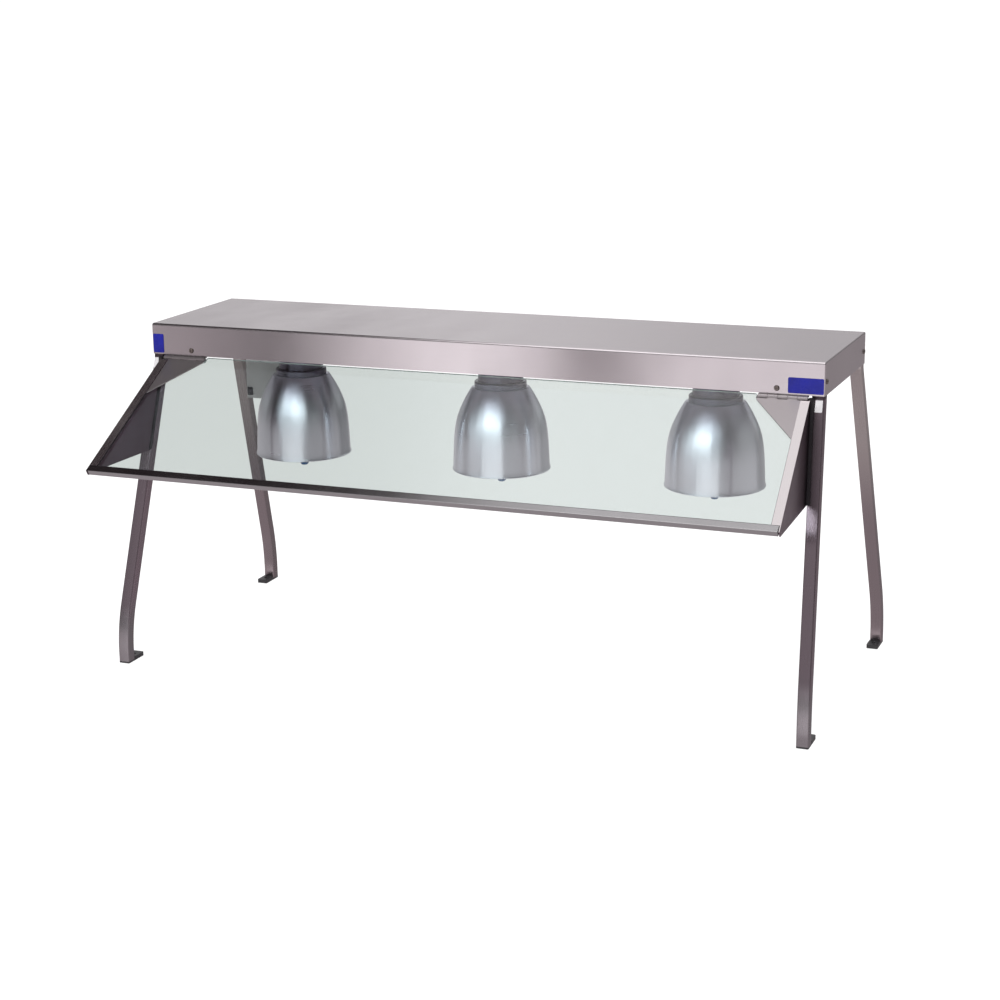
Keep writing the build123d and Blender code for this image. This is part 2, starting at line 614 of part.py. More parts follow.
for number, cx in enumerate(LAMP_X, start=1):
    rz = Plane(origin=(cx, 0, 0), x_dir=(1, 0, 0), z_dir=(0, -1, 0))   # local x = radius, local y = Z
    spin = Axis((cx, 0, 0), (0, 0, 1))

    with BuildPart() as shade:
        with BuildSketch(rz):
            with BuildLine():
                Line((20.4, COLLAR_Z), (47.0, COLLAR_Z))
                ThreePointArc((47.0, COLLAR_Z), (49.1, 479.85), SHADE_OUT[0])
                Spline(*SHADE_OUT)
                Line(SHADE_OUT[-1], (85.4, RIM_Z + 1.2))
                Line((85.4, RIM_Z + 1.2), (85.4, RIM_Z))
                Line((85.4, RIM_Z), (SHADE_IN[-1][0], RIM_Z))
                Line((SHADE_IN[-1][0], RIM_Z), SHADE_IN[-1])
                Spline(*SHADE_IN[::-1])
                Line(SHADE_IN[0], (47.0, COLLAR_Z - SHADE_T))
                Line((47.0, COLLAR_Z - SHADE_T), (20.4, COLLAR_Z - SHADE_T))
                Line((20.4, COLLAR_Z - SHADE_T), (20.4, COLLAR_Z))
            make_face()
        revolve(axis=spin, revolution_arc=360)
    save(shade.part, f"lamp_shade_{number}")

    with BuildPart() as canopy:
        with BuildSketch(rz):
            with BuildLine():
                Polyline(
                    (STEM_R + 0.1, CHANNEL_Z),
                    (CANOPY_R - 1.6, CHANNEL_Z),
                    (CANOPY_R, CHANNEL_Z - 1.6),
                    (CANOPY_R, 490.5),
                    (RING_R - 1.0, 490.5),
                    (RING_R, 489.5),
                    (RING_R, COLLAR_Z + 0.1),
                    (RING_R - 1.4, COLLAR_Z + 0.1),
                    (RING_R - 1.4, 489.1),
                    (CANOPY_R - 1.4, 489.1),
                    (CANOPY_R - 1.4, CHANNEL_Z - 1.4),
                    (STEM_R + 0.1, CHANNEL_Z - 1.4),
                    close=True,
                )
            make_face()
        revolve(axis=spin, revolution_arc=360)
    save(canopy.part, f"lamp_canopy_{number}")

    with BuildPart() as stem:
        with BuildSketch(Plane.XY.offset(STEM_LOW)):
            with Locations((cx, 0)):
                Circle(STEM_R)
                Circle(3.2, mode=Mode.SUBTRACT)
        extrude(amount=STEM_TOP - STEM_LOW)
    save(stem.part, f"lamp_stem_{number}")

    # ceramic holder with a threaded skirt below its flange
    with BuildPart() as holder:
        with BuildSketch(rz):
            with BuildLine():
                Polyline(
                    (3.4, 516.0), (13.0, 516.0), (19.0, 510.0), (21.5, 505.0), (21.5, 485.0),
                    (27.0, 485.0), (27.0, COLLAR_Z + 0.1), (20.0, COLLAR_Z + 0.1), (20.0, 466.0),
                    (13.9, 466.0), (13.9, 497.0), (3.4, 497.0),
                    close=True,
                )
            make_face()
        revolve(axis=spin, revolution_arc=360)
        with BuildSketch(Plane.XY.offset(STEM_LOW)):
            with Locations((cx, 0)):
                Circle(STEM_R)
        extrude(amount=6.0, mode=Mode.SUBTRACT)
    save(holder.part, f"lamp_holder_{number}")

    with BuildPart() as ring:
        with BuildSketch(rz):
            with BuildLine():
                Polyline(
                    (20.1, COLLAR_Z - SHADE_T - 0.1), (28.5, COLLAR_Z - SHADE_T - 0.1), (28.5, 476.6),
                    (24.0, 475.4), (24.0, 469.5), (20.1, 469.5),
                    close=True,
                )
            make_face()
        revolve(axis=spin, revolution_arc=360)
    save(ring.part, f"shade_ring_{number}")

    # reflector bulb: a hollow glass envelope with a small moulded tip
    with BuildPart() as bulb:
        with BuildSketch(rz):
            with BuildLine():
                Line((2.0, 464.0), BULB_NECK[0])
                Spline(*BULB_NECK)
                Spline(*BULB_FACE)
                Spline(BULB_FACE[-1], (6.6, 315.6), (4.2, 312.4), (0, 311.4))
                Line((0, 311.4), BULB_FACE_IN[-1])
                Spline(*BULB_FACE_IN[::-1])
                Spline(*BULB_NECK_IN[::-1])
                Line(BULB_NECK_IN[0], (2.0, 463.0))
                Line((2.0, 463.0), (2.0, 464.0))
            make_face()
        revolve(axis=spin, revolution_arc=360)
    save(bulb.part, f"heat_bulb_{number}")

    with BuildPart() as cap:
        with BuildSketch(rz):
            with BuildLine():
                Polyline(
                    (13.2, 464.0), (13.2, 488.0), (6.5, 491.0), (4.5, 494.5), (0, 494.5),
                    (0, 490.0), (12.2, 487.0), (12.2, 464.0),
                    close=True,
                )
            make_face()
        revolve(axis=spin, revolution_arc=360)
    save(cap.part, f"bulb_cap_{number}")

with BuildPart() as stem_nuts:
    for z in (CHANNEL_Z + CH_T, CHANNEL_Z - 1.4 - 5.0):
        with BuildSketch(Plane.XY.offset(z)):
            with Locations(*[(x, 0) for x in LAMP_X]):
                RegularPolygon(9.0, 6)
                Circle(STEM_R, mode=Mode.SUBTRACT)
        extrude(amount=5.0)
save(stem_nuts.part, "stem_nuts")

# ---- control box by the rear left leg -----------------------------------------------
BX0, BX1 = -542.5, -472.5
BY0, BY1 = 85.0, 135.0
BZ0 = 408.0
BOX_T = 1.0
SW_X, SW_Z = -535.3, 421.0
GLAND_X, GLAND_Y = -505.0, 110.0

with BuildPart() as control_box:
    with BuildSketch(Plane.XY.offset(BZ0)):
        with Locations(((BX0 + BX1) / 2, (BY0 + BY1) / 2)):
            Rectangle(BX1 - BX0, BY1 - BY0)
    extrude(amount=UNDER - BZ0)
    fillet(control_box.edges().filter_by(Axis.Z).sort_by(Axis.Y)[:2], radius=1.5)
    with BuildSketch(Plane(origin=((BX0 + BX1) / 2, BY1, (BZ0 + UNDER) / 2), x_dir=(1, 0, 0), z_dir=(0, -1, 0))):
        Rectangle(BX1 - BX0 - 2 * BOX_T, UNDER - BZ0 - 2 * BOX_T)
    extrude(amount=BY1 - BY0 - BOX_T, mode=Mode.SUBTRACT)
    # screw blocks for the rear cover
    for px in (BX0 + 5.5, BX1 - 5.5):
        for pz in (BZ0 + 5.5, 522.0):
            with BuildSketch(Plane(origin=(px, BY1, pz), x_dir=(1, 0, 0), z_dir=(0, -1, 0))):
                Rectangle(9.0, 9.0)
            extrude(amount=9.0)
            with BuildSketch(Plane(origin=(px, BY1, pz), x_dir=(1, 0, 0), z_dir=(0, -1, 0))):
                Circle(1.75)
            extrude(amount=8.0, mode=Mode.SUBTRACT)
    # opening for the switch, hole for the gland, hole for the loom
    with BuildSketch(Plane(origin=(SW_X, BY0 - 1, SW_Z), x_dir=(1, 0, 0), z_dir=(0, 1, 0))):
        Rectangle(9.2, 13.8)
    extrude(amount=3.0, mode=Mode.SUBTRACT)
    with BuildSketch(Plane.XY.offset(BZ0 - 1)):
        with Locations((GLAND_X, GLAND_Y)):
            Circle(8.1)
    extrude(amount=3.0, mode=Mode.SUBTRACT)
    with BuildSketch(Plane(origin=(LOOM_X, BY0 - 1, LOOM_Z), x_dir=(1, 0, 0), z_dir=(0, 1, 0))):
        Circle(3.2)
    extrude(amount=3.0, mode=Mode.SUBTRACT)
save(control_box.part, "control_box")

with BuildPart() as box_cover:
    with BuildSketch(Plane(origin=((BX0 + BX1) / 2, BY1, (BZ0 + 578.0) / 2), x_dir=(1, 0, 0), z_dir=(0, 1, 0))):
        RectangleRounded(BX1 - BX0, 578.0 - BZ0, 2.0)
    extrude(amount=1.2)
    for px in (BX0 + 5.5, BX1 - 5.5):
        for pz in (BZ0 + 5.5, 522.0):
            with BuildSketch(Plane(origin=(px, BY1, pz), x_dir=(1, 0, 0), z_dir=(0, 1, 0))):
                Circle(2.1)
            extrude(amount=1.2, mode=Mode.SUBTRACT)
save(box_cover.part, "box_cover")

with BuildPart() as cover_screws:
    for px in (BX0 + 5.5, BX1 - 5.5):
        for pz in (BZ0 + 5.5, 522.0):
            spot = Vector(px, BY1 + 1.2, pz)
            with BuildSketch(Plane(origin=spot, x_dir=(1, 0, 0), z_dir=(0, 1, 0))):
                Circle(3.3)
            extrude(amount=2.0, taper=20)
            with BuildSketch(Plane(origin=spot, x_dir=(1, 0, 0), z_dir=(0, -1, 0))):
                Circle(1.7)
            extrude(amount=8.0)
            with BuildSketch(Plane(origin=spot + Vector(0, 2.0, 0), x_dir=(1, 0, 0), z_dir=(0, -1, 0))):
                Rectangle(3.2, 0.7)
                Rectangle(0.7, 3.2)
            extrude(amount=1.0, mode=Mode.SUBTRACT)
save(cover_screws.part, "cover_screws")

# ---- rocker switch --------------------------------------------------------------------
ROCK_Y = BY0 - 0.4                # pivot
REST_TILT = 8.0
with BuildPart() as switch_body:
    with BuildSketch(Plane(origin=(SW_X, BY0, SW_Z), x_dir=(1, 0, 0), z_dir=(0, -1, 0))):
        RectangleRounded(10.8, 15.4, 1.0)
    extrude(amount=1.5)
    fillet(switch_body.faces().sort_by(Axis.Y)[0].edges(), radius=0.5)
    with BuildSketch(Plane(origin=(SW_X, BY0, SW_Z), x_dir=(1, 0, 0), z_dir=(0, 1, 0))):
        Rectangle(9.0, 13.6)
    extrude(amount=12.0)
    # well for the rocker
    with BuildSketch(Plane(origin=(SW_X, BY0 - 1.6, SW_Z), x_dir=(1, 0, 0), z_dir=(0, 1, 0))):
        Rectangle(7.4, 12.2)
    extrude(amount=6.6, mode=Mode.SUBTRACT)
    with BuildSketch(Plane(origin=(SW_X - 4.1, ROCK_Y, SW_Z), x_dir=(0, 1, 0), z_dir=(1, 0, 0))):
        Circle(0.76)
    extrude(amount=8.2, mode=Mode.SUBTRACT)
    # two blades at the back
    for dz in (-3.5, 3.5):
        with BuildSketch(Plane(origin=(SW_X, BY0 + 12.0, SW_Z + dz), x_dir=(1, 0, 0), z_dir=(0, 1, 0))):
            Rectangle(4.8, 0.8)
        extrude(amount=7.0)
save(switch_body.part, "switch_body")

ROCK = math.radians(REST_TILT)


def rocked(y, z):
    # a point of the rocker's side view, tipped to its rest position
    return (
        ROCK_Y + y * math.cos(ROCK) - z * math.sin(ROCK),
        SW_Z + y * math.sin(ROCK) + z * math.cos(ROCK),
    )


with BuildPart() as switch_rocker:
    with BuildSketch(yz_plane(SW_X - 3.4)):
        with BuildLine():
            Polyline(
                rocked(-2.9, 5.3), rocked(-1.9, 0.0), rocked(-2.9, -5.3),
                rocked(0.6, -5.0), rocked(2.6, -1.6), rocked(2.6, 1.6), rocked(0.6, 5.0),
                close=True,
            )
        make_face()
    extrude(amount=6.8)
    with BuildSketch(yz_plane(SW_X - 4.0)):
        with Locations((ROCK_Y, SW_Z)):
            Circle(0.7)
    extrude(amount=8.0)
save(switch_rocker.part, "switch_rocker")

# ---- cable gland in the floor of the box ---------------------------------------------
with BuildPart() as cable_gland:
    with BuildSketch(Plane.XY.offset(BZ0 + 8.0)):
        with Locations((GLAND_X, GLAND_Y)):
            Circle(8.0)
    extrude(amount=-8.0)
    with BuildSketch(Plane.XY.offset(BZ0)):
        with Locations((GLAND_X, GLAND_Y)):
            RegularPolygon(12.0, 6)
    extrude(amount=-5.0)
    with BuildSketch(Plane.XY.offset(BZ0 - 5.0)):
        with Locations((GLAND_X, GLAND_Y)):
            Circle(9.0)
    extrude(amount=-3.0)
    with BuildSketch(Plane.XY.offset(BZ0 - 8.0)):
        with Locations((GLAND_X, GLAND_Y)):
            RegularPolygon(11.0, 6)
    extrude(amount=-7.0)
    with BuildSketch(Plane.XY.offset(BZ0 - 15.0)):
        with Locations((GLAND_X, GLAND_Y)):
            Circle(8.8)
    extrude(amount=-5.0, taper=24)
    with BuildSketch(Plane.XY.offset(BZ0 + 8.0)):
        with Locations((GLAND_X, GLAND_Y)):
            Circle(4.2)
    extrude(amount=-30.0, mode=Mode.SUBTRACT)
save(cable_gland.part, "cable_gland")

with BuildPart() as gland_nut:
    with BuildSketch(Plane.XY.offset(BZ0 + BOX_T)):
        with Locations((GLAND_X, GLAND_Y)):
            RegularPolygon(12.0, 6)
            Circle(8.0, mode=Mode.SUBTRACT)
    extrude(amount=4.0)
save(gland_nut.part, "gland_nut")

# ---- terminal block and the loom that feeds the lamps -----------------------------------
TB_X, TB_Y, TB_Z = -507.0, 97.0, 480.0
with BuildPart() as terminal_block:
    with BuildSketch(Plane(origin=(TB_X, BY0 + BOX_T, TB_Z), x_dir=(1, 0, 0), z_dir=(0, 1, 0))):
        Rectangle(36.0, 20.0)
    extrude(amount=9.0)
    with BuildSketch(Plane(origin=(TB_X, BY0 + BOX_T + 9.0, TB_Z), x_dir=(1, 0, 0), z_dir=(0, 1, 0))):
        Rectangle(36.0, 10.0)
    extrude(amount=7.0)
    with BuildSketch(Plane(origin=(TB_X, BY0 + BOX_T + 16.0, TB_Z), x_dir=(1, 0, 0), z_dir=(0, -1, 0))):
        with GridLocations(11.0, 10.0, 3, 1):
            Circle(2.6)
    extrude(amount=5.0, mode=Mode.SUBTRACT)
save(terminal_block.part, "terminal_block")

LOOM_R = 3.0
WIRE_R = 2.4
LOOM_Y = 24.0
TB_TOP = TB_Z + 10.0
with BuildPart() as wiring_loom:
    # up from the terminals, forward into the channel, then along it
    with BuildSketch(Plane.XY.offset(TB_TOP)):
        with Locations((LOOM_X, TB_Y)):
            Circle(LOOM_R)
    extrude(amount=LOOM_Z - TB_TOP)
    with BuildSketch(Plane(origin=(LOOM_X, TB_Y, LOOM_Z), x_dir=(1, 0, 0), z_dir=(0, -1, 0))):
        Circle(LOOM_R)
    extrude(amount=TB_Y - LOOM_Y)
    with BuildSketch(Plane(origin=(LOOM_X, LOOM_Y, LOOM_Z), x_dir=(0, 1, 0), z_dir=(1, 0, 0))):
        Circle(LOOM_R)
    extrude(amount=LAMP_X[-1] - LOOM_X)
    with Locations((LOOM_X, TB_Y, LOOM_Z), (LOOM_X, LOOM_Y, LOOM_Z), (LAMP_X[-1], LOOM_Y, LOOM_Z)):
        Sphere(LOOM_R)
    # one branch down the hollow stem of each lamp
    for x in LAMP_X:
        with BuildSketch(Plane(origin=(x, LOOM_Y, LOOM_Z), x_dir=(1, 0, 0), z_dir=(0, -1, 0))):
            Circle(WIRE_R)
        extrude(amount=LOOM_Y)
        with BuildSketch(Plane.XY.offset(LOOM_Z)):
            with Locations((x, 0)):
                Circle(WIRE_R)
        extrude(amount=-(LOOM_Z - 499.0))
    with Locations(*[(x, 0, LOOM_Z) for x in LAMP_X]):
        Sphere(WIRE_R)
save(wiring_loom.part, "wiring_loom")

# ---- blank plates at the two ends of the front -------------------------------------------
for name, x0, x1, z0, z1 in (
    ("blank_plate_right", 541.0, 598.0, 533.5, 558.5),
    ("blank_plate_left", -598.0, -577.5, 533.5, 566.5),
):
    with BuildPart() as plate:
        with BuildSketch(Plane(origin=((x0 + x1) / 2, -SHELF_D / 2, (z0 + z1) / 2), x_dir=(1, 0, 0), z_dir=(0, -1, 0))):
            RectangleRounded(x1 - x0, z1 - z0, 2.0)
        extrude(amount=0.8)
    save(plate.part, name)
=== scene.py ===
import bpy
import bmesh
import math
import random
from mathutils import Matrix, Vector


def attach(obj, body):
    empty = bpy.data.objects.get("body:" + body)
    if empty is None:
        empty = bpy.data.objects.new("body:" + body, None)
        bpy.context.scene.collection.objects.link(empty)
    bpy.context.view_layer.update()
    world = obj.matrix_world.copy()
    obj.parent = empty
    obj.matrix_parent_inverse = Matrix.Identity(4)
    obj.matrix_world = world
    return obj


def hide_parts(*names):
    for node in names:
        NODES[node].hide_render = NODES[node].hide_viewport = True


random.seed(7)
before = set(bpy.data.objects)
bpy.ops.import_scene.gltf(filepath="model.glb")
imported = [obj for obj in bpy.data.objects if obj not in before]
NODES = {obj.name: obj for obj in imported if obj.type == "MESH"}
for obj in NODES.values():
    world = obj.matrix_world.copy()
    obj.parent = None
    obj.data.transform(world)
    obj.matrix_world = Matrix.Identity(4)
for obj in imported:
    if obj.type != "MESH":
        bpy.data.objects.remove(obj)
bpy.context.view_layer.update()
scene = bpy.context.scene


# ---------------------------------------------------------------- camera
def srgb(r, g, b):
    def one(c):
        c /= 255.0
        return c / 12.92 if c <= 0.04045 else ((c + 0.055) / 1.055) ** 2.4
    return (one(r), one(g), one(b), 1.0)


CAM = Vector((1.31727, -3.287847, 1.199567))
YAW, PITCH, ROLL = (math.radians(v) for v in (21.900782, 14.565781, -0.761089))
fwd = Vector((-math.sin(YAW) * math.cos(PITCH), math.cos(YAW) * math.cos(PITCH), -math.sin(PITCH)))
right = Vector((math.cos(YAW), math.sin(YAW), 0.0))
up = right.cross(fwd)
r_axis = right * math.cos(ROLL) + up * math.sin(ROLL)
u_axis = -right * math.sin(ROLL) + up * math.cos(ROLL)
cam_data = bpy.data.cameras.new("camera")
cam_data.sensor_width = 36.0
cam_data.lens = 75.333
cam_data.clip_start, cam_data.clip_end = 0.05, 200.0
cam = bpy.data.objects.new("camera", cam_data)
scene.collection.objects.link(cam)
cam.matrix_world = Matrix((
    (r_axis.x, u_axis.x, -fwd.x, CAM.x),
    (r_axis.y, u_axis.y, -fwd.y, CAM.y),
    (r_axis.z, u_axis.z, -fwd.z, CAM.z),
    (0, 0, 0, 1),
))
scene.camera = cam
scene.view_settings.view_transform = "Standard"
scene.view_settings.look = "None"


# ---------------------------------------------------------------- node helpers
class Mat:
    """A node material with short helpers."""

    def __init__(self, name):
        self.m = bpy.data.materials.new(name)
        self.m.use_nodes = True
        self.t = self.m.node_tree
        self.t.nodes.clear()
        self.out = self.t.nodes.new("ShaderNodeOutputMaterial")
        self.b = self.t.nodes.new("ShaderNodeBsdfPrincipled")
        self.t.links.new(self.b.outputs[0], self.out.inputs["Surface"])
        self.co = None

    def node(self, kind, **sets):
        n = self.t.nodes.new(kind)
        for k, v in sets.items():
            if k[0].isupper():
                n.inputs[k.replace("_", " ")].default_value = v
            else:
                setattr(n, k, v)
        return n

    def link(self, a, b):
        self.t.links.new(a, b)

    def set(self, **sets):
        for k, v in sets.items():
            self.b.inputs[k.replace("_", " ")].default_value = v
        return self

    def coords(self):
        if self.co is None:
            self.co = self.t.nodes.new("ShaderNodeTexCoord").outputs["Object"]
        return self.co

    def mapped(self, scale, rot=(0, 0, 0), loc=(0, 0, 0)):
        n = self.t.nodes.new("ShaderNodeMapping")
        n.inputs["Scale"].default_value = scale
        n.inputs["Rotation"].default_value = rot
        n.inputs["Location"].default_value = loc
        self.link(self.coords(), n.inputs["Vector"])
        return n.outputs[0]

    def noise(self, scale, detail=3.0, rough=0.5, rot=(0, 0, 0), loc=(0, 0, 0), dist=0.0):
        n = self.t.nodes.new("ShaderNodeTexNoise")
        n.inputs["Scale"].default_value = 1.0
        n.inputs["Detail"].default_value = detail
        n.inputs["Roughness"].default_value = rough
        n.inputs["Distortion"].default_value = dist
        self.link(self.mapped(scale, rot, loc), n.inputs["Vector"])
        return n.outputs["Fac"]

    def span(self, fac, lo, hi, a, b, smooth=False):
        n = self.t.nodes.new("ShaderNodeMapRange")
        n.clamp = True
        if smooth:
            n.interpolation_type = "SMOOTHSTEP"
        n.inputs["From Min"].default_value = lo
        n.inputs["From Max"].default_value = hi
        n.inputs["To Min"].default_value = a
        n.inputs["To Max"].default_value = b
        self.link(fac, n.inputs["Value"])
        return n.outputs["Result"]

    def math(self, op, a, b=None, clamp=False):
        n = self.t.nodes.new("ShaderNodeMath")
        n.operation = op
        n.use_clamp = clamp
        for i, v in enumerate((a, b)):
            if v is None:
                continue
            if isinstance(v, (int, float)):
                n.inputs[i].default_value = v
            else:
                self.link(v, n.inputs[i])
        return n.outputs[0]

    def mix(self, fac, a, b):
        n = self.t.nodes.new("ShaderNodeMix")
        n.data_type = "RGBA"
        if isinstance(fac, (int, float)):
            n.inputs[0].default_value = fac
        else:
            self.link(fac, n.inputs[0])
        for i, v in ((6, a), (7, b)):
            if isinstance(v, tuple):
                n.inputs[i].default_value = v if len(v) == 4 else (*v, 1.0)
            else:
                self.link(v, n.inputs[i])
        return n.outputs[2]

    def bump(self, height, strength=0.3, distance=0.0002, chain=None):
        n = self.t.nodes.new("ShaderNodeBump")
        n.inputs["Strength"].default_value = strength
        n.inputs["Distance"].default_value = distance
        self.link(height, n.inputs["Height"])
        if chain is not None:
            self.link(chain, n.inputs["Normal"])
        return n.outputs[0]

    def to(self, socket, out):
        self.link(out, self.b.inputs[socket])
        return self


def scaled(c, k):
    return (c[0] * k, c[1] * k, c[2] * k, 1.0)


def brushed(name, colour, grain="X", rough=(0.22, 0.30), aniso=0.8, wear=0.02, along=9.0, across=3000.0, axis=None, scratch=0.06, uv=False):
    """Brushed stainless: fine scratches along one axis, cloudy wiping marks, a few longer scratches."""
    m = Mat(name)
    if uv:
        # the mesh carries its own brushing direction: U across it, V along it, both in metres
        u = m.t.nodes.new("ShaderNodeUVMap")
        u.uv_map = "grain"
        m.co = u.outputs[0]
        grain = "Y"
    s = {"X": (along, across, across), "Y": (across, along, across), "Z": (across, across, along)}[grain]
    s2 = tuple(v * (0.33 if v > 100 else 0.5) for v in s)
    fine = m.noise(s, 4.0, 0.6)
    mid = m.noise(s2, 2.0, 0.5, loc=(3.1, 1.7, 0.4))
    cloud = m.noise((4.0, 7.0, 7.0), 3.0, 0.55, loc=(1.3, 0.2, 5.0))
    streak = m.math("ADD", m.math("MULTIPLY", fine, 0.75), m.math("MULTIPLY", mid, 0.25))
    shade = m.span(streak, 0.33, 0.67, 1.0 - wear, 1.0 + wear)
    both = m.math("MULTIPLY", shade, m.span(cloud, 0.3, 0.7, 0.97, 1.03))
    col = m.mix(m.span(both, 0.88, 1.12, 0.0, 1.0), scaled(colour, 0.88), scaled(colour, 1.12))
    m.to("Base Color", col)
    r = m.math("ADD", m.span(streak, 0.3, 0.7, rough[0], rough[1]), m.span(cloud, 0.3, 0.7, -0.03, 0.03))
    m.to("Roughness", r)
    m.set(Metallic=1.0, Anisotropic=aniso)
    t = m.t.nodes.new("ShaderNodeTangent")
    if uv:
        t.direction_type = "UV_MAP"
        t.uv_map = "grain"
    else:
        t.direction_type = "RADIAL"
        t.axis = axis or grain
    m.link(t.outputs[0], m.b.inputs["Tangent"])
    m.to("Normal", m.bump(streak, scratch, 0.00003))
    return m.m


def spun(name, colour, rough=(0.33, 0.39), aniso=1.0, pitch=420.0, ring_depth=0.025):
    """Spun sheet: rings round the upright axis, drawn by height, with a faint waviness."""
    m = Mat(name)
    ring = m.noise((3.0, 3.0, pitch), 2.0, 0.5)
    wide = m.noise((2.0, 2.0, pitch * 0.3), 2.0, 0.5, loc=(0.3, 0.7, 2.0))
    cloud = m.noise((9.0, 9.0, 5.0), 3.0, 0.5, loc=(2.0, 4.0, 1.0))
    h = m.math("ADD", m.math("MULTIPLY", ring, 0.55), m.math("MULTIPLY", wide, 0.45))
    col = m.mix(m.span(h, 0.3, 0.7, 0.0, 1.0), scaled(colour, 0.985), scaled(colour, 1.015))
    m.to("Base Color", col)
    m.to("Roughness", m.math("ADD", m.span(h, 0.3, 0.7, rough[0], rough[1]), m.span(cloud, 0.3, 0.7, -0.012, 0.016)))
    m.set(Metallic=1.0, Anisotropic=aniso, Anisotropic_Rotation=0.25)
    t = m.t.nodes.new("ShaderNodeTangent")
    t.direction_type = "RADIAL"
    t.axis = "Z"
    m.link(t.outputs[0], m.b.inputs["Tangent"])
    m.to("Normal", m.bump(h, ring_depth, 0.00004))
    return m.m


def moulded(name, colour, rough=(0.42, 0.58), grain=900.0, strength=0.25, coat=0.0, spec=0.5):
    """Moulded plastic or rubber: fine pebbled grain, slight shade and gloss changes, a little dust."""
    m = Mat(name)
    pebble = m.noise((grain, grain, grain), 3.0, 0.6)
    cloud = m.noise((35.0, 35.0, 35.0), 3.0, 0.5, loc=(5.0, 2.0, 1.0))
    m.to("Base Color", m.mix(m.span(cloud, 0.3, 0.7, 0.0, 1.0), scaled(colour, 0.85), scaled(colour, 1.2)))
    m.to("Roughness", m.math("ADD", m.span(pebble, 0.3, 0.7, rough[0], rough[1]), m.span(cloud, 0.3, 0.7, -0.03, 0.03)))
    m.set(Specular_IOR_Level=spec, Coat_Weight=coat)
    m.to("Normal", m.bump(pebble, strength, 0.00008))
    return m.m


def plated(name, colour, rough=(0.16, 0.30), grain=(600.0, 600.0, 600.0)):
    m = Mat(name)
    a = m.noise(grain, 3.0, 0.55)
    cloud = m.noise((60.0, 60.0, 60.0), 3.0, 0.5, loc=(1.0, 8.0, 3.0))
    m.to("Base Color", m.mix(m.span(cloud, 0.3, 0.7, 0.0, 1.0), scaled(colour, 0.88), scaled(colour, 1.08)))
    m.to("Roughness", m.math("ADD", m.span(a, 0.3, 0.7, rough[0], rough[1]), m.span(cloud, 0.3, 0.7, -0.03, 0.05)))
    m.set(Metallic=1.0)
    m.to("Normal", m.bump(a, 0.12, 0.00006))
    return m.m


def painted(name, colour, rough=(0.38, 0.5)):
    """Powder coat: orange peel and a slightly uneven gloss."""
    m = Mat(name)
    peel = m.noise((420.0, 420.0, 420.0), 2.0, 0.4)
    cloud = m.noise((16.0, 16.0, 16.0), 3.0, 0.5, loc=(7.0, 3.0, 2.0))
    m.to("Base Color", m.mix(m.span(cloud, 0.3, 0.7, 0.0, 1.0), scaled(colour, 0.92), scaled(colour, 1.07)))
    m.to("Roughness", m.span(peel, 0.3, 0.7, rough[0], rough[1]))
    m.to("Normal", m.bump(peel, 0.35, 0.00012))
    return m.m


def glazed(name, colour):
    m = Mat(name)
    speck = m.noise((240.0, 240.0, 240.0), 3.0, 0.6)
    m.to("Base Color", m.mix(m.span(speck, 0.35, 0.7, 0.0, 1.0), scaled(colour, 0.93), scaled(colour, 1.03)))
    m.to("Roughness", m.span(speck, 0.3, 0.7, 0.14, 0.24))
    m.set(Coat_Weight=0.5, Coat_Roughness=0.08)
    m.to("Normal", m.bump(speck, 0.1, 0.0001))
    return m.m


def clear(name, tint, rough=0.0, wipe=0.02):
    """Float glass with very faint wiping marks in the gloss."""
    m = Mat(name)
    m.set(Base_Color=tint, Transmission_Weight=1.0, IOR=1.52)
    w = m.noise((14.0, 3.0, 3.0), 3.0, 0.5, rot=(0.0, 0.0, 0.5))
    m.to("Roughness", m.span(w, 0.35, 0.8, rough, rough + wipe))
    return m.m


def glass_rim(name, colour):
    """Ground edge of the glass: greenish and half matt."""
    m = Mat(name)
    g = m.noise((500.0, 500.0, 500.0), 3.0, 0.6)
    m.to("Base Color", m.mix(m.span(g, 0.3, 0.7, 0.0, 1.0), scaled(colour, 0.9), scaled(colour, 1.1)))
    m.to("Roughness", m.span(g, 0.3, 0.7, 0.22, 0.36))
    m.set(IOR=1.52, Transmission_Weight=0.15)
    return m.m


def by_height(mat, z0, z1, amount, into, mode):
    """Changes the colour over a range of height."""
    t = mat.node_tree
    b = next(n for n in t.nodes if n.type == "BSDF_PRINCIPLED")
    co = t.nodes.new("ShaderNodeTexCoord")
    sep = t.nodes.new("ShaderNodeSeparateXYZ")
    t.links.new(co.outputs["Object"], sep.inputs[0])
    ramp = t.nodes.new("ShaderNodeMapRange")
    ramp.interpolation_type = "SMOOTHSTEP"
    for k, v in (("From Min", z0), ("From Max", z1), ("To Min", 0.0), ("To Max", amount)):
        ramp.inputs[k].default_value = v
    t.links.new(sep.outputs[2], ramp.inputs["Value"])
    mx = t.nodes.new("ShaderNodeMix")
    mx.data_type = "RGBA"
    mx.blend_type = mode
    t.links.new(ramp.outputs["Result"], mx.inputs[0])
    t.links.new(b.inputs["Base Color"].links[0].from_socket, mx.inputs[6])
    mx.inputs[7].default_value = into
    t.links.new(mx.outputs[2], b.inputs["Base Color"])


def leg_steel(name, colour, painted_foot_shade, painted_foot_shade_from, painted_foot_shade_to, painted_shelf_shadow):
    """Tube steel brushed lengthwise; painted shade darkens it towards the foot, and a painted shadow darkens a band
    where it goes up behind the shelf's front.
    """
    mat = brushed(name, colour, uv=True, rough=(0.24, 0.30), aniso=1.0, wear=0.03)
    # painted shade: the colour darkens towards the foot
    by_height(mat, painted_foot_shade_from, painted_foot_shade_to, 1.0, painted_foot_shade, "MULTIPLY")
    if painted_shelf_shadow:
        # painted shadow: a near-black band on the leg just under the shelf's front flange
        by_height(mat, 0.5225, 0.5275, 0.9, (0.02, 0.015, 0.018, 1.0), "MIX")
    return mat


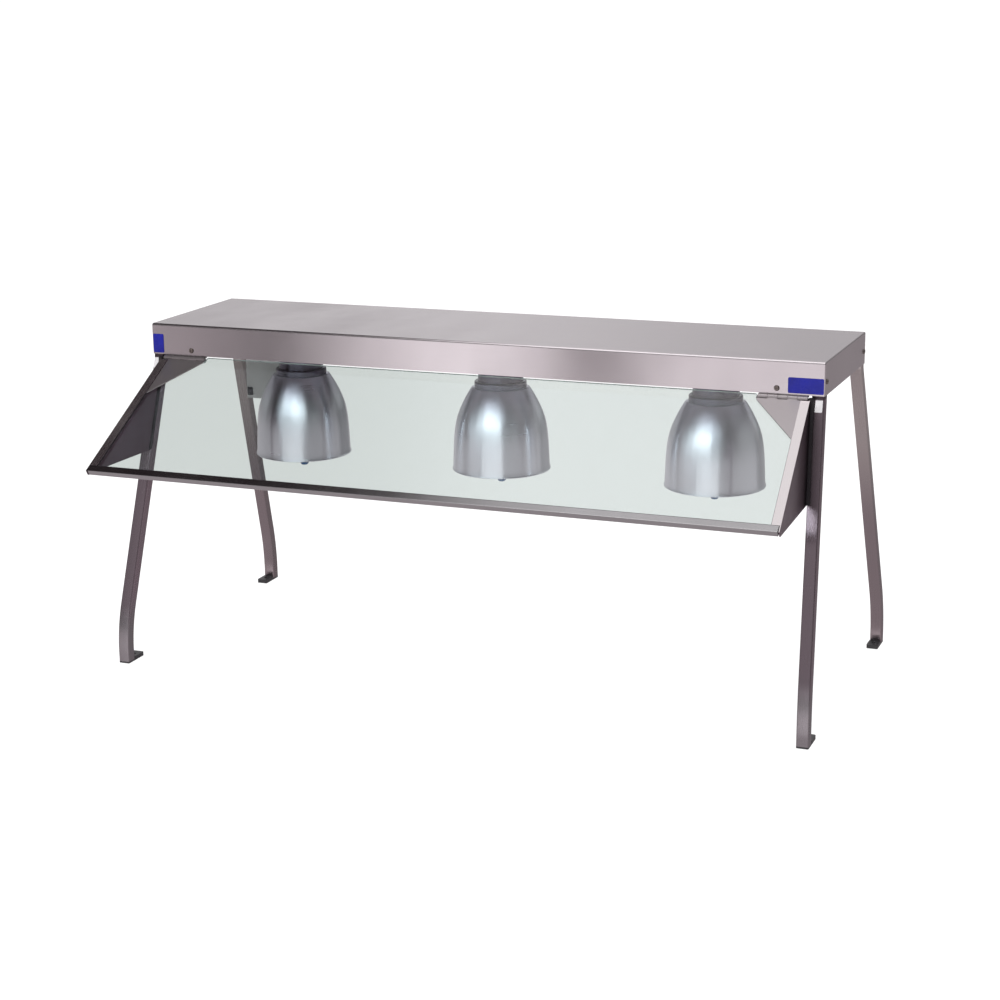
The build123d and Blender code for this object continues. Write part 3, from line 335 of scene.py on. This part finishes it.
MAT = {
    "shelf": brushed("shelf_steel", srgb(174, 169, 171), uv=True, rough=(0.15, 0.20), aniso=0.95),
    # lit and shaded copies of one leg steel: the front legs get a darker colour as painted shade, the rear legs a
    # lighter one as painted light; both are painted darker towards the foot, and the front legs also get the painted
    # shadow under the shelf
    "legs": leg_steel("leg_steel", srgb(143, 130, 137), (0.80, 0.92, 0.86, 1.0), 0.12, 0.06, True),
    "legs_rear": leg_steel("leg_steel_rear", srgb(166, 160, 158), (0.62, 0.58, 0.62, 1.0), 0.42, 0.22, False),
    "guard": brushed("guard_steel", srgb(152, 151, 152), uv=True, rough=(0.13, 0.18)),
    # lit and shaded copies of the end panels' steel: the faces that look up and out take the lighter strip colour as
    # painted light, the side faces take the darker panel colour as painted shade
    "strip": brushed("strip_steel_painted_light", srgb(208, 203, 203), uv=True, rough=(0.12, 0.17)),
    "panel": brushed("panel_steel_painted_shade", srgb(105, 88, 98), uv=True, rough=(0.28, 0.38)),
    "leaf": brushed("leaf_steel", srgb(150, 145, 146), uv=True, rough=(0.34, 0.42)),
    "channel": brushed("channel_steel", srgb(170, 172, 174), uv=True, rough=(0.34, 0.5), aniso=0.3),
    "foot": moulded("foot_plastic", (0.022, 0.022, 0.024, 1.0), (0.40, 0.55)),
    "rubber": moulded("black_rubber", (0.010, 0.008, 0.010, 1.0), (0.50, 0.68), grain=1400.0, strength=0.35, spec=0.35),
    "nylon": moulded("white_nylon", (0.83, 0.82, 0.83, 1.0), (0.35, 0.5), strength=0.15),
    "screw": plated("screw_steel", srgb(112, 104, 100), (0.3, 0.42)),
    "pin": plated("pin_steel", srgb(200, 200, 202), (0.12, 0.2)),
    "glass": clear("guard_glass", (0.565, 0.61, 0.59, 1.0)),
    "glass_rim": glass_rim("glass_rim", srgb(104, 124, 120)),
    "shade": spun("shade_aluminium", srgb(240, 242, 249), (0.28, 0.295), aniso=0.75, ring_depth=0.003),
    # the canopies' spun aluminium is given a dark colour as painted shade under the shelf
    "canopy": spun("canopy_aluminium", srgb(108, 104, 118), (0.26, 0.38), ring_depth=0.01),
    "stem": plated("stem_brass", srgb(196, 178, 128), grain=(60.0, 60.0, 1600.0)),
    "ceramic": glazed("porcelain", srgb(236, 232, 222)),
    "silver": plated("bulb_silvering", srgb(214, 216, 220), (0.08, 0.14)),
    "bulb": glazed("bulb_frosting", srgb(206, 210, 216)),
    "tip": moulded("bulb_tip", (0.025, 0.085, 0.20, 1.0), (0.12, 0.2), strength=0.05),
    "cap": plated("cap_brass", srgb(206, 186, 132), grain=(80.0, 80.0, 900.0)),
    "box": painted("box_paint", srgb(188, 186, 186)),
    "switch": moulded("switch_plastic", (0.018, 0.018, 0.02, 1.0), (0.18, 0.28), strength=0.08),
    "gland": moulded("gland_nylon", (0.055, 0.055, 0.058, 1.0), (0.4, 0.52)),
    "terminal": moulded("terminal_nylon", srgb(226, 222, 204), (0.36, 0.48)),
    "loom": moulded("loom_sleeve", srgb(150, 70, 52), (0.5, 0.62), grain=500.0, strength=0.5),
    "plate": moulded("plate_blue", srgb(22, 28, 146), (0.22, 0.32), strength=0.05, spec=0.25),
}
by_height(MAT["shade"], 0.430, 0.476, 1.0, (0.74, 0.68, 0.76, 1.0), "MULTIPLY")   # painted shade: the top of each shade is darkened where it mirrors the dark underside of the shelf

USE = {
    "shelf_tray": "shelf", "wiring_channel": "channel", "leg_bolts": "screw", "leg_pads": "nylon",
    "guard_glass": "glass", "glazing_strip": "rubber", "guard_rail": "guard",
    "stud_nuts": "screw", "stem_nuts": "screw", "hinge_screws": "screw", "cover_screws": "screw",
    "control_box": "box", "box_cover": "box", "switch_body": "switch", "switch_rocker": "switch",
    "cable_gland": "gland", "gland_nut": "gland", "terminal_block": "terminal", "wiring_loom": "loom",
}
PREFIX = {
    "leg_front": "legs", "leg_rear": "legs_rear", "foot_": "foot", "hinge_leaf": "leaf", "hinge_pin": "pin",
    "end_panel": "panel", "edge_trim": "rubber", "corner_leaf": "leaf", "lamp_shade": "shade",
    "lamp_canopy": "canopy", "lamp_stem": "stem", "lamp_holder": "ceramic", "shade_ring": "ceramic",
    "heat_bulb": "bulb", "bulb_cap": "cap", "blank_plate": "plate",
}


def material_for(name):
    if name in USE:
        return MAT[USE[name]]
    for p, k in PREFIX.items():
        if name.startswith(p):
            return MAT[k]
    raise KeyError(name)


for name, o in NODES.items():
    m = material_for(name)
    for s in o.material_slots:
        s.material = m
    if not o.material_slots:
        o.data.materials.append(m)

# brushing direction of the sheet-metal pieces: for each way a face can look, (that way, across the grain, along it)
PHI = math.radians(32.5)
DOWN = Vector((0, -math.cos(PHI), -math.sin(PHI)))
OUT = Vector((0, -math.sin(PHI), math.cos(PHI)))
VX, VY, VZ = Vector((1, 0, 0)), Vector((0, 1, 0)), Vector((0, 0, 1))
SHEET_GRAIN = ((VZ, VY, VX), (VY, VZ, VX), (VX, VY, VZ))
GUARD_GRAIN = ((OUT, DOWN, VX), (DOWN, OUT, VX), (VX, VY, VZ))
PANEL_GRAIN = ((OUT, VX, DOWN), (VX, VZ, VY), (DOWN, OUT, VX))


def grain_uv(o, rules, pick=None):
    """Gives each face its brushing direction, and, with pick, a second material to the faces that look one way."""
    me = o.data
    uv = me.uv_layers.new(name="grain")
    if pick:
        me.materials.append(pick[1])
    for poly in me.polygons:
        n = poly.normal
        way, across, along = max(rules, key=lambda r: abs(n.dot(r[0])))
        for li in poly.loop_indices:
            co = me.vertices[me.loops[li].vertex_index].co
            uv.data[li].uv = (co.dot(across), co.dot(along))
        if pick and way is pick[0]:
            poly.material_index = 1


for name in ("shelf_tray", "wiring_channel"):
    grain_uv(NODES[name], SHEET_GRAIN)
for name in ("guard_rail", "corner_leaf_left", "corner_leaf_right", "hinge_leaf_left", "hinge_leaf_right"):
    grain_uv(NODES[name], GUARD_GRAIN)
for name in ("end_panel_left", "end_panel_right"):
    # faces looking up and out get the lighter copy of the panel steel: painted light
    grain_uv(NODES[name], PANEL_GRAIN, (OUT, MAT["strip"]))

grain_uv(NODES["guard_glass"], ((OUT, VX, DOWN), (VX, VZ, VY), (DOWN, OUT, VX)))
NODES["guard_glass"].data.materials.append(MAT["glass_rim"])
for poly in NODES["guard_glass"].data.polygons:
    if abs(poly.normal.dot(OUT)) < 0.9:
        poly.material_index = 1


def soften(o, width, segments=2, angle=35.0):
    """Breaks the sharp edges of a CAD node, without touching its vertices."""
    w = o.modifiers.new("weld", "WELD")
    w.merge_threshold = 0.000002
    d = o.modifiers.new("flats", "DECIMATE")
    d.decimate_type = "DISSOLVE"
    d.angle_limit = math.radians(0.2)
    d.delimit = {"MATERIAL"}
    b = o.modifiers.new("edges", "BEVEL")
    b.width = width
    b.segments = segments
    b.limit_method = "ANGLE"
    b.angle_limit = math.radians(angle)
    b.use_clamp_overlap = True
    n = o.modifiers.new("normals", "WEIGHTED_NORMAL")
    n.keep_sharp = False
    n.weight = 80


EDGE = {
    "shelf_tray": 0.0003, "wiring_channel": 0.0003, "leg_bolts": 0.0003, "leg_pads": 0.0004,
    "glazing_strip": 0.0003, "guard_rail": 0.0003, "hinge_screws": 0.0003, "control_box": 0.0003,
    "box_cover": 0.0003, "cover_screws": 0.0002, "switch_body": 0.0002, "switch_rocker": 0.00025,
    "cable_gland": 0.0005, "gland_nut": 0.0004, "terminal_block": 0.0006, "stem_nuts": 0.0005, "stud_nuts": 0.0004,
    "foot_": 0.0007, "hinge_leaf": 0.00025, "end_panel": 0.0003, "edge_trim": 0.0009, "corner_leaf": 0.0003,
    "lamp_canopy": 0.0004, "lamp_holder": 0.0006, "shade_ring": 0.0005, "bulb_cap": 0.0003, "blank_plate": 0.0002,
}
for name, o in NODES.items():
    for key, width in EDGE.items():
        if name == key or name.startswith(key):
            soften(o, width)
            break

# ---------------------------------------------------------------- mesh helpers
MM = 0.001


def finish_mesh(name, bm, mats, body, replaces=(), smooth=40.0):
    bmesh.ops.recalc_face_normals(bm, faces=bm.faces)
    me = bpy.data.meshes.new(name)
    bm.to_mesh(me)
    bm.free()
    for m in mats:
        me.materials.append(m)
    o = bpy.data.objects.new(name, me)
    scene.collection.objects.link(o)
    me.polygons.foreach_set("use_smooth", [True] * len(me.polygons))
    me.set_sharp_from_angle(angle=math.radians(smooth))
    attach(o, body)
    if replaces:
        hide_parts(*replaces)
    return o


def spline(points, steps=6):
    """Smooth curve through points, Catmull-Rom with chord-length spacing."""
    pts = [Vector(p) for p in points]
    ext = [pts[0] * 2 - pts[1]] + pts + [pts[-1] * 2 - pts[-2]]
    out = []
    for i in range(1, len(ext) - 2):
        p0, p1, p2, p3 = ext[i - 1:i + 3]
        t0 = 0.0
        t1 = t0 + (p1 - p0).length ** 0.5
        t2 = t1 + (p2 - p1).length ** 0.5
        t3 = t2 + (p3 - p2).length ** 0.5
        for k in range(steps):
            t = t1 + (t2 - t1) * k / steps
            a1 = p0 * ((t1 - t) / (t1 - t0)) + p1 * ((t - t0) / (t1 - t0))
            a2 = p1 * ((t2 - t) / (t2 - t1)) + p2 * ((t - t1) / (t2 - t1))
            a3 = p2 * ((t3 - t) / (t3 - t2)) + p3 * ((t - t2) / (t3 - t2))
            b1 = a1 * ((t2 - t) / (t2 - t0)) + a2 * ((t - t0) / (t2 - t0))
            b2 = a2 * ((t3 - t) / (t3 - t1)) + a3 * ((t - t1) / (t3 - t1))
            out.append(b1 * ((t2 - t) / (t2 - t1)) + b2 * ((t - t1) / (t2 - t1)))
    out.append(pts[-1])
    return [tuple(p) for p in out]


def lathe(bm, profile, centre, segments=144, mat=0, closed=False):
    """Revolves (radius, z) pairs in mm about the upright line through centre."""
    cx, cy = centre
    rings = []
    for r, z in profile:
        if r < 1e-6:
            rings.append([bm.verts.new((cx, cy, z * MM))])
        else:
            rings.append([bm.verts.new((cx + r * MM * math.cos(2 * math.pi * k / segments),
                                        cy + r * MM * math.sin(2 * math.pi * k / segments), z * MM))
                          for k in range(segments)])
    pairs = list(zip(rings, rings[1:]))
    if closed:
        pairs.append((rings[-1], rings[0]))
    for i, (a, b) in enumerate(pairs):
        m = mat(i) if callable(mat) else mat
        for k in range(segments):
            j = (k + 1) % segments
            if len(a) == 1 and len(b) == 1:
                continue
            if len(a) == 1:
                f = bm.faces.new((a[0], b[k], b[j]))
            elif len(b) == 1:
                f = bm.faces.new((a[k], b[0], a[j]))
            else:
                f = bm.faces.new((a[k], b[k], b[j], a[j]))
            f.material_index = m


def arc(cx, cy, r, a0, a1, n):
    return [(cx + r * math.cos(math.radians(a0 + (a1 - a0) * k / n)),
             cy + r * math.sin(math.radians(a0 + (a1 - a0) * k / n))) for k in range(n + 1)]


def offset_profile(points, t):
    out = []
    for i, (r, z) in enumerate(points):
        r0, z0 = points[max(i - 1, 0)]
        r1, z1 = points[min(i + 1, len(points) - 1)]
        dr, dz = r1 - r0, z1 - z0
        ln = math.hypot(dr, dz)
        out.append((r + dz / ln * t, z - dr / ln * t))
    return out


# ---------------------------------------------------------------- lamps
LAMP_X = (-384.0, 0.0, 384.0)
RIM_Z, COLLAR_Z = 336.0, 480.3
SHADE = spline([
    (50.6, 478.6), (54.6, 472.5), (59.0, 465.0), (63.4, 456.8), (67.6, 448.2),
    (71.4, 439.5), (74.7, 430.5), (77.4, 421.0), (79.4, 410.5), (80.9, 399.0),
    (82.0, 385.0), (83.0, 365.0), (84.0, RIM_Z + 2.4),
], 6)
SHADE_INNER = offset_profile(SHADE, 1.2)
for n, cx in enumerate(LAMP_X, start=1):
    bm = bmesh.new()
    outer = [(20.4, COLLAR_Z), (34.0, COLLAR_Z), (46.0, COLLAR_Z)] + arc(46.4, 475.9, 4.4, 88, 34, 6) + SHADE
    bead = arc(84.15, RIM_Z + 1.25, 1.25, 75, -215, 12)
    inner = [p for p in SHADE_INNER[::-1]] + [(46.5, COLLAR_Z - 1.2), (34.0, COLLAR_Z - 1.2), (20.4, COLLAR_Z - 1.2)]
    profile = outer[:-1] + bead + inner[1:]
    lathe(bm, profile, (cx * MM, 0.0), 160, closed=True)
    finish_mesh(f"shade_{n}", bm, [MAT["shade"]], "root", (f"lamp_shade_{n}",), 50.0)

# reflector bulbs: silvered neck, frosted face, small dark tip
NECK = spline([(14.6, 464.0), (18.2, 455.0), (23.5, 442.0), (32.0, 424.0), (43.0, 404.0), (53.5, 384.0), (60.0, 366.0), (62.2, 352.0)], 4)
FACE = spline([(62.2, 352.0), (61.0, 342.5), (54.0, 334.0), (41.0, 327.0), (22.0, 322.0), (7.5, 320.4)], 5)
TIP = spline([(7.6, 320.4), (7.7, 317.6), (7.1, 314.8), (5.2, 312.4), (2.4, 311.6)], 4)
for n, cx in enumerate(LAMP_X, start=1):
    bm = bmesh.new()
    profile = [(3.0, 463.9)] + NECK + FACE[1:] + TIP[1:] + [(0.0, 311.5)]
    inner = [(0.0, 321.4)] + [(r - 1.0, z + 0.9) for r, z in FACE[::-1] if r > 8.0] + [(r - 1.0, z) for r, z in NECK[::-1][1:]] + [(3.0, 462.9)]
    n_neck, n_face = len(NECK), len(NECK) + len(FACE) - 1

    def part_of(i, a=n_neck, b=n_face, c=len(profile)):
        return 0 if i < a or i > c + 20 else (1 if i < b else (2 if i < c else 1))

    lathe(bm, profile + inner, (cx * MM, 0.0), 96, part_of, closed=True)
    finish_mesh(f"bulb_{n}", bm, [MAT["silver"], MAT["bulb"], MAT["tip"]], "root", (f"heat_bulb_{n}",), 60.0)

# ---------------------------------------------------------------- legs
LEG_TOP_X, LEG_TOP_Y = 588.8, 133.8
FOOT_X, FOOT_Y = 610.0, 273.0


def leg_path(sx, sy):
    """Points and headings down a leg, in mm: straight, bend of 40, slant, bend of 300, straight."""
    pts = [Vector((sx * LEG_TOP_X, sy * LEG_TOP_Y, 580.6)), Vector((sx * LEG_TOP_X, sy * LEG_TOP_Y, 523.0)),
           Vector((sx * FOOT_X, sy * FOOT_Y, 62.0)), Vector((sx * FOOT_X, sy * FOOT_Y, 3.0))]
    down = Vector((0, 0, -1))
    slant = (pts[2] - pts[1]).normalized()
    turn = math.acos(max(-1.0, min(1.0, down.dot(slant))))
    out = []

    def straight(a, b, d, n):
        for k in range(n):
            out.append((a.lerp(b, k / n), d))

    def bend(corner, d0, d1, radius, n):
        t = radius * math.tan(turn / 2)
        start = corner - d0 * t
        side = (d1 - d0 * d0.dot(d1)).normalized()
        centre = start + side * radius
        for k in range(n):
            a = turn * k / n
            out.append((centre - side * radius * math.cos(a) + d0 * radius * math.sin(a),
                        d0 * math.cos(a) + side * math.sin(a)))
        return start, corner + d1 * t

    t1, t2 = 40.0 * math.tan(turn / 2), 300.0 * math.tan(turn / 2)
    straight(pts[0], pts[1] - down * t1, down, 4)
    bend(pts[1], down, slant, 40.0, 12)
    straight(pts[1] + slant * t1, pts[2] - slant * t2, slant, 24)
    bend(pts[2], slant, down, 300.0, 24)
    straight(pts[2] + down * t2, pts[3], down, 3)
    out.append((pts[3], down))
    return out


def rounded_square(half, r, n=5):
    ring = []
    for cx, cy, a0 in ((half - r, half - r, 0), (-half + r, half - r, 90), (-half + r, -half + r, 180), (half - r, -half + r, 270)):
        for k in range(n + 1):
            a = math.radians(a0 + 90.0 * k / n)
            ring.append((cx + r * math.cos(a), cy + r * math.sin(a)))
    return ring


for name, sx, sy, mat in (("front_left", -1, -1, "legs"), ("front_right", 1, -1, "legs"),
                          ("rear_left", -1, 1, "legs_rear"), ("rear_right", 1, 1, "legs_rear")):
    bm = bmesh.new()
    uv = bm.loops.layers.uv.new("grain")
    path = leg_path(sx, sy)
    dist = [0.0]
    for (p0, _), (p1, _) in zip(path, path[1:]):
        dist.append(dist[-1] + (p1 - p0).length)
    shift = 3.7 * (sx + 2) + 1.9 * (sy + 2)
    shells = []
    for half, r in ((10.0, 2.2), (8.5, 0.8)):
        section = rounded_square(half, r)
        girth = [0.0]
        for (x0, y0), (x1, y1) in zip(section, section[1:] + section[:1]):
            girth.append(girth[-1] + math.hypot(x1 - x0, y1 - y0))
        rings = []
        for pos, head in path:
            q = Vector((0, 0, -1)).rotation_difference(head)
            ax, ay = q @ Vector((1, 0, 0)), q @ Vector((0, 1, 0))
            rings.append([bm.verts.new((pos + ax * x + ay * y) * MM) for x, y in section])
        count = len(section)
        for i in range(len(rings) - 1):
            for k in range(count):
                j = (k + 1) % count
                f = bm.faces.new((rings[i][k], rings[i][j], rings[i + 1][j], rings[i + 1][k]))
                for loop, (gi, di) in zip(f.loops, ((k, i), (k + 1, i), (k + 1, i + 1), (k, i + 1))):
                    loop[uv].uv = (girth[gi] * MM + shift, dist[di] * MM + shift)
        shells.append(rings)
    for end in (0, -1):
        a, b = shells[0][end], shells[1][end]
        for k in range(len(a)):
            j = (k + 1) % len(a)
            bm.faces.new((a[k], a[j], b[j], b[k]))
    finish_mesh(f"leg_tube_{name}", bm, [MAT[mat]], "root", (f"leg_{name}",), 50.0)

# ---------------------------------------------------------------- floor and light
floor_mesh = bpy.data.meshes.new("floor")
bm = bmesh.new()
bmesh.ops.create_circle(bm, cap_ends=True, radius=60.0, segments=96)
bm.to_mesh(floor_mesh)
bm.free()
floor = bpy.data.objects.new("floor", floor_mesh)
floor.location = (0, 0, -0.0005)
scene.collection.objects.link(floor)
fm = Mat("floor_paint")
fm.set(Base_Color=(0.20, 0.20, 0.20, 1.0), Roughness=0.8, Specular_IOR_Level=0.1)
fm.set(Emission_Color=(1.0, 1.0, 1.0, 1.0), Emission_Strength=0.94)
floor.data.materials.append(fm.m)
floor.visible_glossy = False

world = bpy.data.worlds.new("studio")
scene.world = world
world.use_nodes = True
wt = world.node_tree
wt.nodes.clear()


def wn(kind, **sets):
    n = wt.nodes.new(kind)
    for k, v in sets.items():
        setattr(n, k, v)
    return n


def wmath(op, a, b=None, c=None):
    n = wn("ShaderNodeMath", operation=op)
    for i, v in enumerate((a, b, c)):
        if v is None:
            continue
        if isinstance(v, (int, float)):
            n.inputs[i].default_value = v
        else:
            wt.links.new(v, n.inputs[i])
    return n.outputs[0]


def wstep(x, lo, hi, a=0.0, b=1.0):
    n = wn("ShaderNodeMapRange", interpolation_type="SMOOTHSTEP")
    for k, v in (("From Min", lo), ("From Max", hi), ("To Min", a), ("To Max", b)):
        n.inputs[k].default_value = v
    wt.links.new(x, n.inputs["Value"])
    return n.outputs["Result"]


geo = wn("ShaderNodeTexCoord")
sep = wn("ShaderNodeSeparateXYZ")
wt.links.new(geo.outputs["Generated"], sep.inputs[0])
dx, dy, dz = sep.outputs
DEG = math.pi / 180
elev = wmath("MULTIPLY", wmath("ARCSINE", dz), 1 / DEG)
front_az = wmath("MULTIPLY", wmath("ARCTAN2", dx, wmath("MULTIPLY", dy, -1.0)), 1 / DEG)   # 0 towards -Y, 90 towards +X
back_az = wmath("MULTIPLY", wmath("ARCTAN2", dx, dy), 1 / DEG)                             # 0 towards +Y, 90 towards +X


def patch(az, a0, a1, sa, e0, e1, se):
    """1 inside a range of direction, with soft edges."""
    u = wmath("MULTIPLY", wstep(az, a0 - sa, a0 + sa), wstep(az, a1 + sa, a1 - sa))
    v = wmath("MULTIPLY", wstep(elev, e0 - se, e0 + se), wstep(elev, e1 + se, e1 - se))
    return wmath("MULTIPLY", u, v)


# (which azimuth, from, to, softness, elevation from, to, softness, added light)
BRIGHT = (
    (front_az, -26.6, -20.5, 0.5, -20, 9, 2.5, 1.00),     # white table and paper in front
    (front_az, -23.8, -20.5, 0.8, -20, 9, 2.5, 0.52),
    (front_az, -18.2, 24.0, 0.5, -20, 9, 2.5, 1.02),
    (front_az, -70.0, -38.0, 6.0, -3, 24, 5, 0.25),       # window wall to the left
    (front_az, -36.0, 26.0, 4.0, 9, 24, 3, 0.45),         # wall in front
    (back_az, -40.0, -4.0, 8.0, -2, 30, 6, 0.37),         # pale wall behind
    (back_az, -26.0, -6.0, 3.5, -2, 30, 6, 0.17),
    (back_az, -2.0, 40.0, 6.0, -1, 32, 5, 0.36),
    (front_az, -160.0, -82.0, 8.0, -1, 42, 5, 0.36),      # walls at both ends
    (front_az, 78.0, 138.0, 8.0, -1, 42, 5, 0.20),
)
DARK = (
    (front_az, -190.0, 190.0, 1.0, -100, 100, 1, 0.13),
    (front_az, -190.0, 190.0, 1.0, -100, -5, 4, 0.62),    # grey table all round
    (front_az, -60.0, -30.3, 0.8, -40, -2, 4, 0.16),
    (front_az, -29.4, -26.9, 0.6, -40, -2, 4, -0.42),
    (front_az, -20.5, -18.2, 0.4, -40, -2, 4, -0.20),
    (back_az, -2.0, 52.0, 6.0, -26, 0, 3, -0.33),
)
# what the lamps mirror through the guard's glass, already allowing for the glass
THROUGH = (
    (front_az, -190.0, 190.0, 1.0, -100, 100, 1, 0.12),
    (front_az, -190.0, 190.0, 1.0, -100, -5, 4, 0.92),
    (front_az, -72.0, 25.0, 16.0, -22, 9, 4, 1.18),
    (front_az, 25.0, 80.0, 12.0, -100, -5, 4, 0.25),
    (front_az, -84.0, -34.0, 18.0, -5, 26, 5, 0.55),
    (front_az, -40.0, 24.0, 5.0, 9, 24, 4, 0.72),
    (front_az, -36.0, 14.0, 8.0, 21, 36, 4, 1.55),
)


def total(rows):
    value = None
    for az, a0, a1, sa, e0, e1, se, w in rows:
        term = wmath("MULTIPLY", patch(az, a0, a1, sa, e0, e1, se), w)
        value = term if value is None else wmath("ADD", value, term)
    return value


def ceiling(x0, x1, y0, y1, soft, level):
    """Light from above, bounded by how far the direction leans towards +X and +Y."""
    u = wmath("MULTIPLY", wstep(dx, x0 - soft, x0 + soft), wstep(dx, x1 + soft, x1 - soft))
    v = wmath("MULTIPLY", wstep(dy, y0 - soft, y0 + soft), wstep(dy, y1 + soft, y1 - soft))
    return wmath("MULTIPLY", wmath("MULTIPLY", wmath("MULTIPLY", u, v), wstep(dz, 0.42, 0.52)), level)


light, dim, through = total(BRIGHT), total(DARK), total(THROUGH)
light = wmath("ADD", light, ceiling(-0.38, 0.45, -0.9, 0.9, 0.04, 1.05))
light = wmath("ADD", light, ceiling(-0.40, 0.30, -0.55, 0.02, 0.05, 1.70))
light = wmath("ADD", light, ceiling(-0.95, -0.42, 0.02, 0.9, 0.03, -0.09))
through = wmath("ADD", through, ceiling(-0.42, 0.45, -0.9, 0.9, 0.04, 1.50))
through = wmath("ADD", through, ceiling(-0.95, -0.42, -0.9, 0.9, 0.04, 0.45))
lp = wn("ShaderNodeLightPath")
comb = wn("ShaderNodeCombineXYZ")
for i, (k1, k2, k3) in enumerate(((1.0, 1.0, 1.26), (0.985, 0.90, 1.27), (1.0, 0.94, 1.44))):
    room = wmath("ADD", wmath("MULTIPLY", light, k1), wmath("MULTIPLY", dim, k2))
    swap = wn("ShaderNodeMix", data_type="FLOAT")
    wt.links.new(lp.outputs["Is Transmission Ray"], swap.inputs[0])
    wt.links.new(room, swap.inputs[2])
    wt.links.new(wmath("MULTIPLY", through, k3), swap.inputs[3])
    wt.links.new(swap.outputs[0], comb.inputs[i])
bg = wn("ShaderNodeBackground")
wt.links.new(comb.outputs[0], bg.inputs["Color"])
white = wn("ShaderNodeBackground")
white.inputs["Color"].default_value = (1, 1, 1, 1)
white.inputs["Strength"].default_value = 1.05
mixw = wn("ShaderNodeMixShader")
# the backdrop is white where it is looked at, also through the glass; what the metal mirrors is the room
direct = wmath("LESS_THAN", lp.outputs["Glossy Depth"], 0.5)
seen = wmath("MAXIMUM", lp.outputs["Is Camera Ray"], wmath("MULTIPLY", lp.outputs["Is Transmission Ray"], direct))
wt.links.new(seen, mixw.inputs[0])
wt.links.new(bg.outputs[0], mixw.inputs[1])
wt.links.new(white.outputs[0], mixw.inputs[2])
wout = wn("ShaderNodeOutputWorld")
wt.links.new(mixw.outputs[0], wout.inputs["Surface"])


def area(name, loc, target, size, size_y, level, colour=(1, 1, 1), glossy=True, diffuse=True, through=False):
    """A soft box; level is how bright its face is."""
    d = bpy.data.lights.new(name, "AREA")
    d.shape = "RECTANGLE"
    d.size, d.size_y = size, size_y
    d.energy = level * math.pi * size * size_y
    d.color = colour
    o = bpy.data.objects.new(name, d)
    o.location = loc
    o.rotation_euler = (Vector(target) - Vector(loc)).to_track_quat("-Z", "Y").to_euler()
    scene.collection.objects.link(o)
    o.visible_camera = False
    o.visible_transmission = through
    o.visible_glossy = glossy
    o.visible_diffuse = diffuse
    return o


area("key", (0.03, -1.115, 0.815), (0.305, -0.134, 0.43), 1.00, 0.54, 3.7, (0.94, 0.94, 1.0), glossy=False, diffuse=False, through=True)
area("key_left", (-0.675, -0.915, 0.815), (-0.40, 0.066, 0.43), 0.46, 0.54, 1.9, (0.94, 0.94, 1.0), glossy=False, diffuse=False, through=True)
area("room", (0.4, -0.6, 4.0), (0, 0, 0.3), 4.0, 4.0, 1.9, glossy=False)
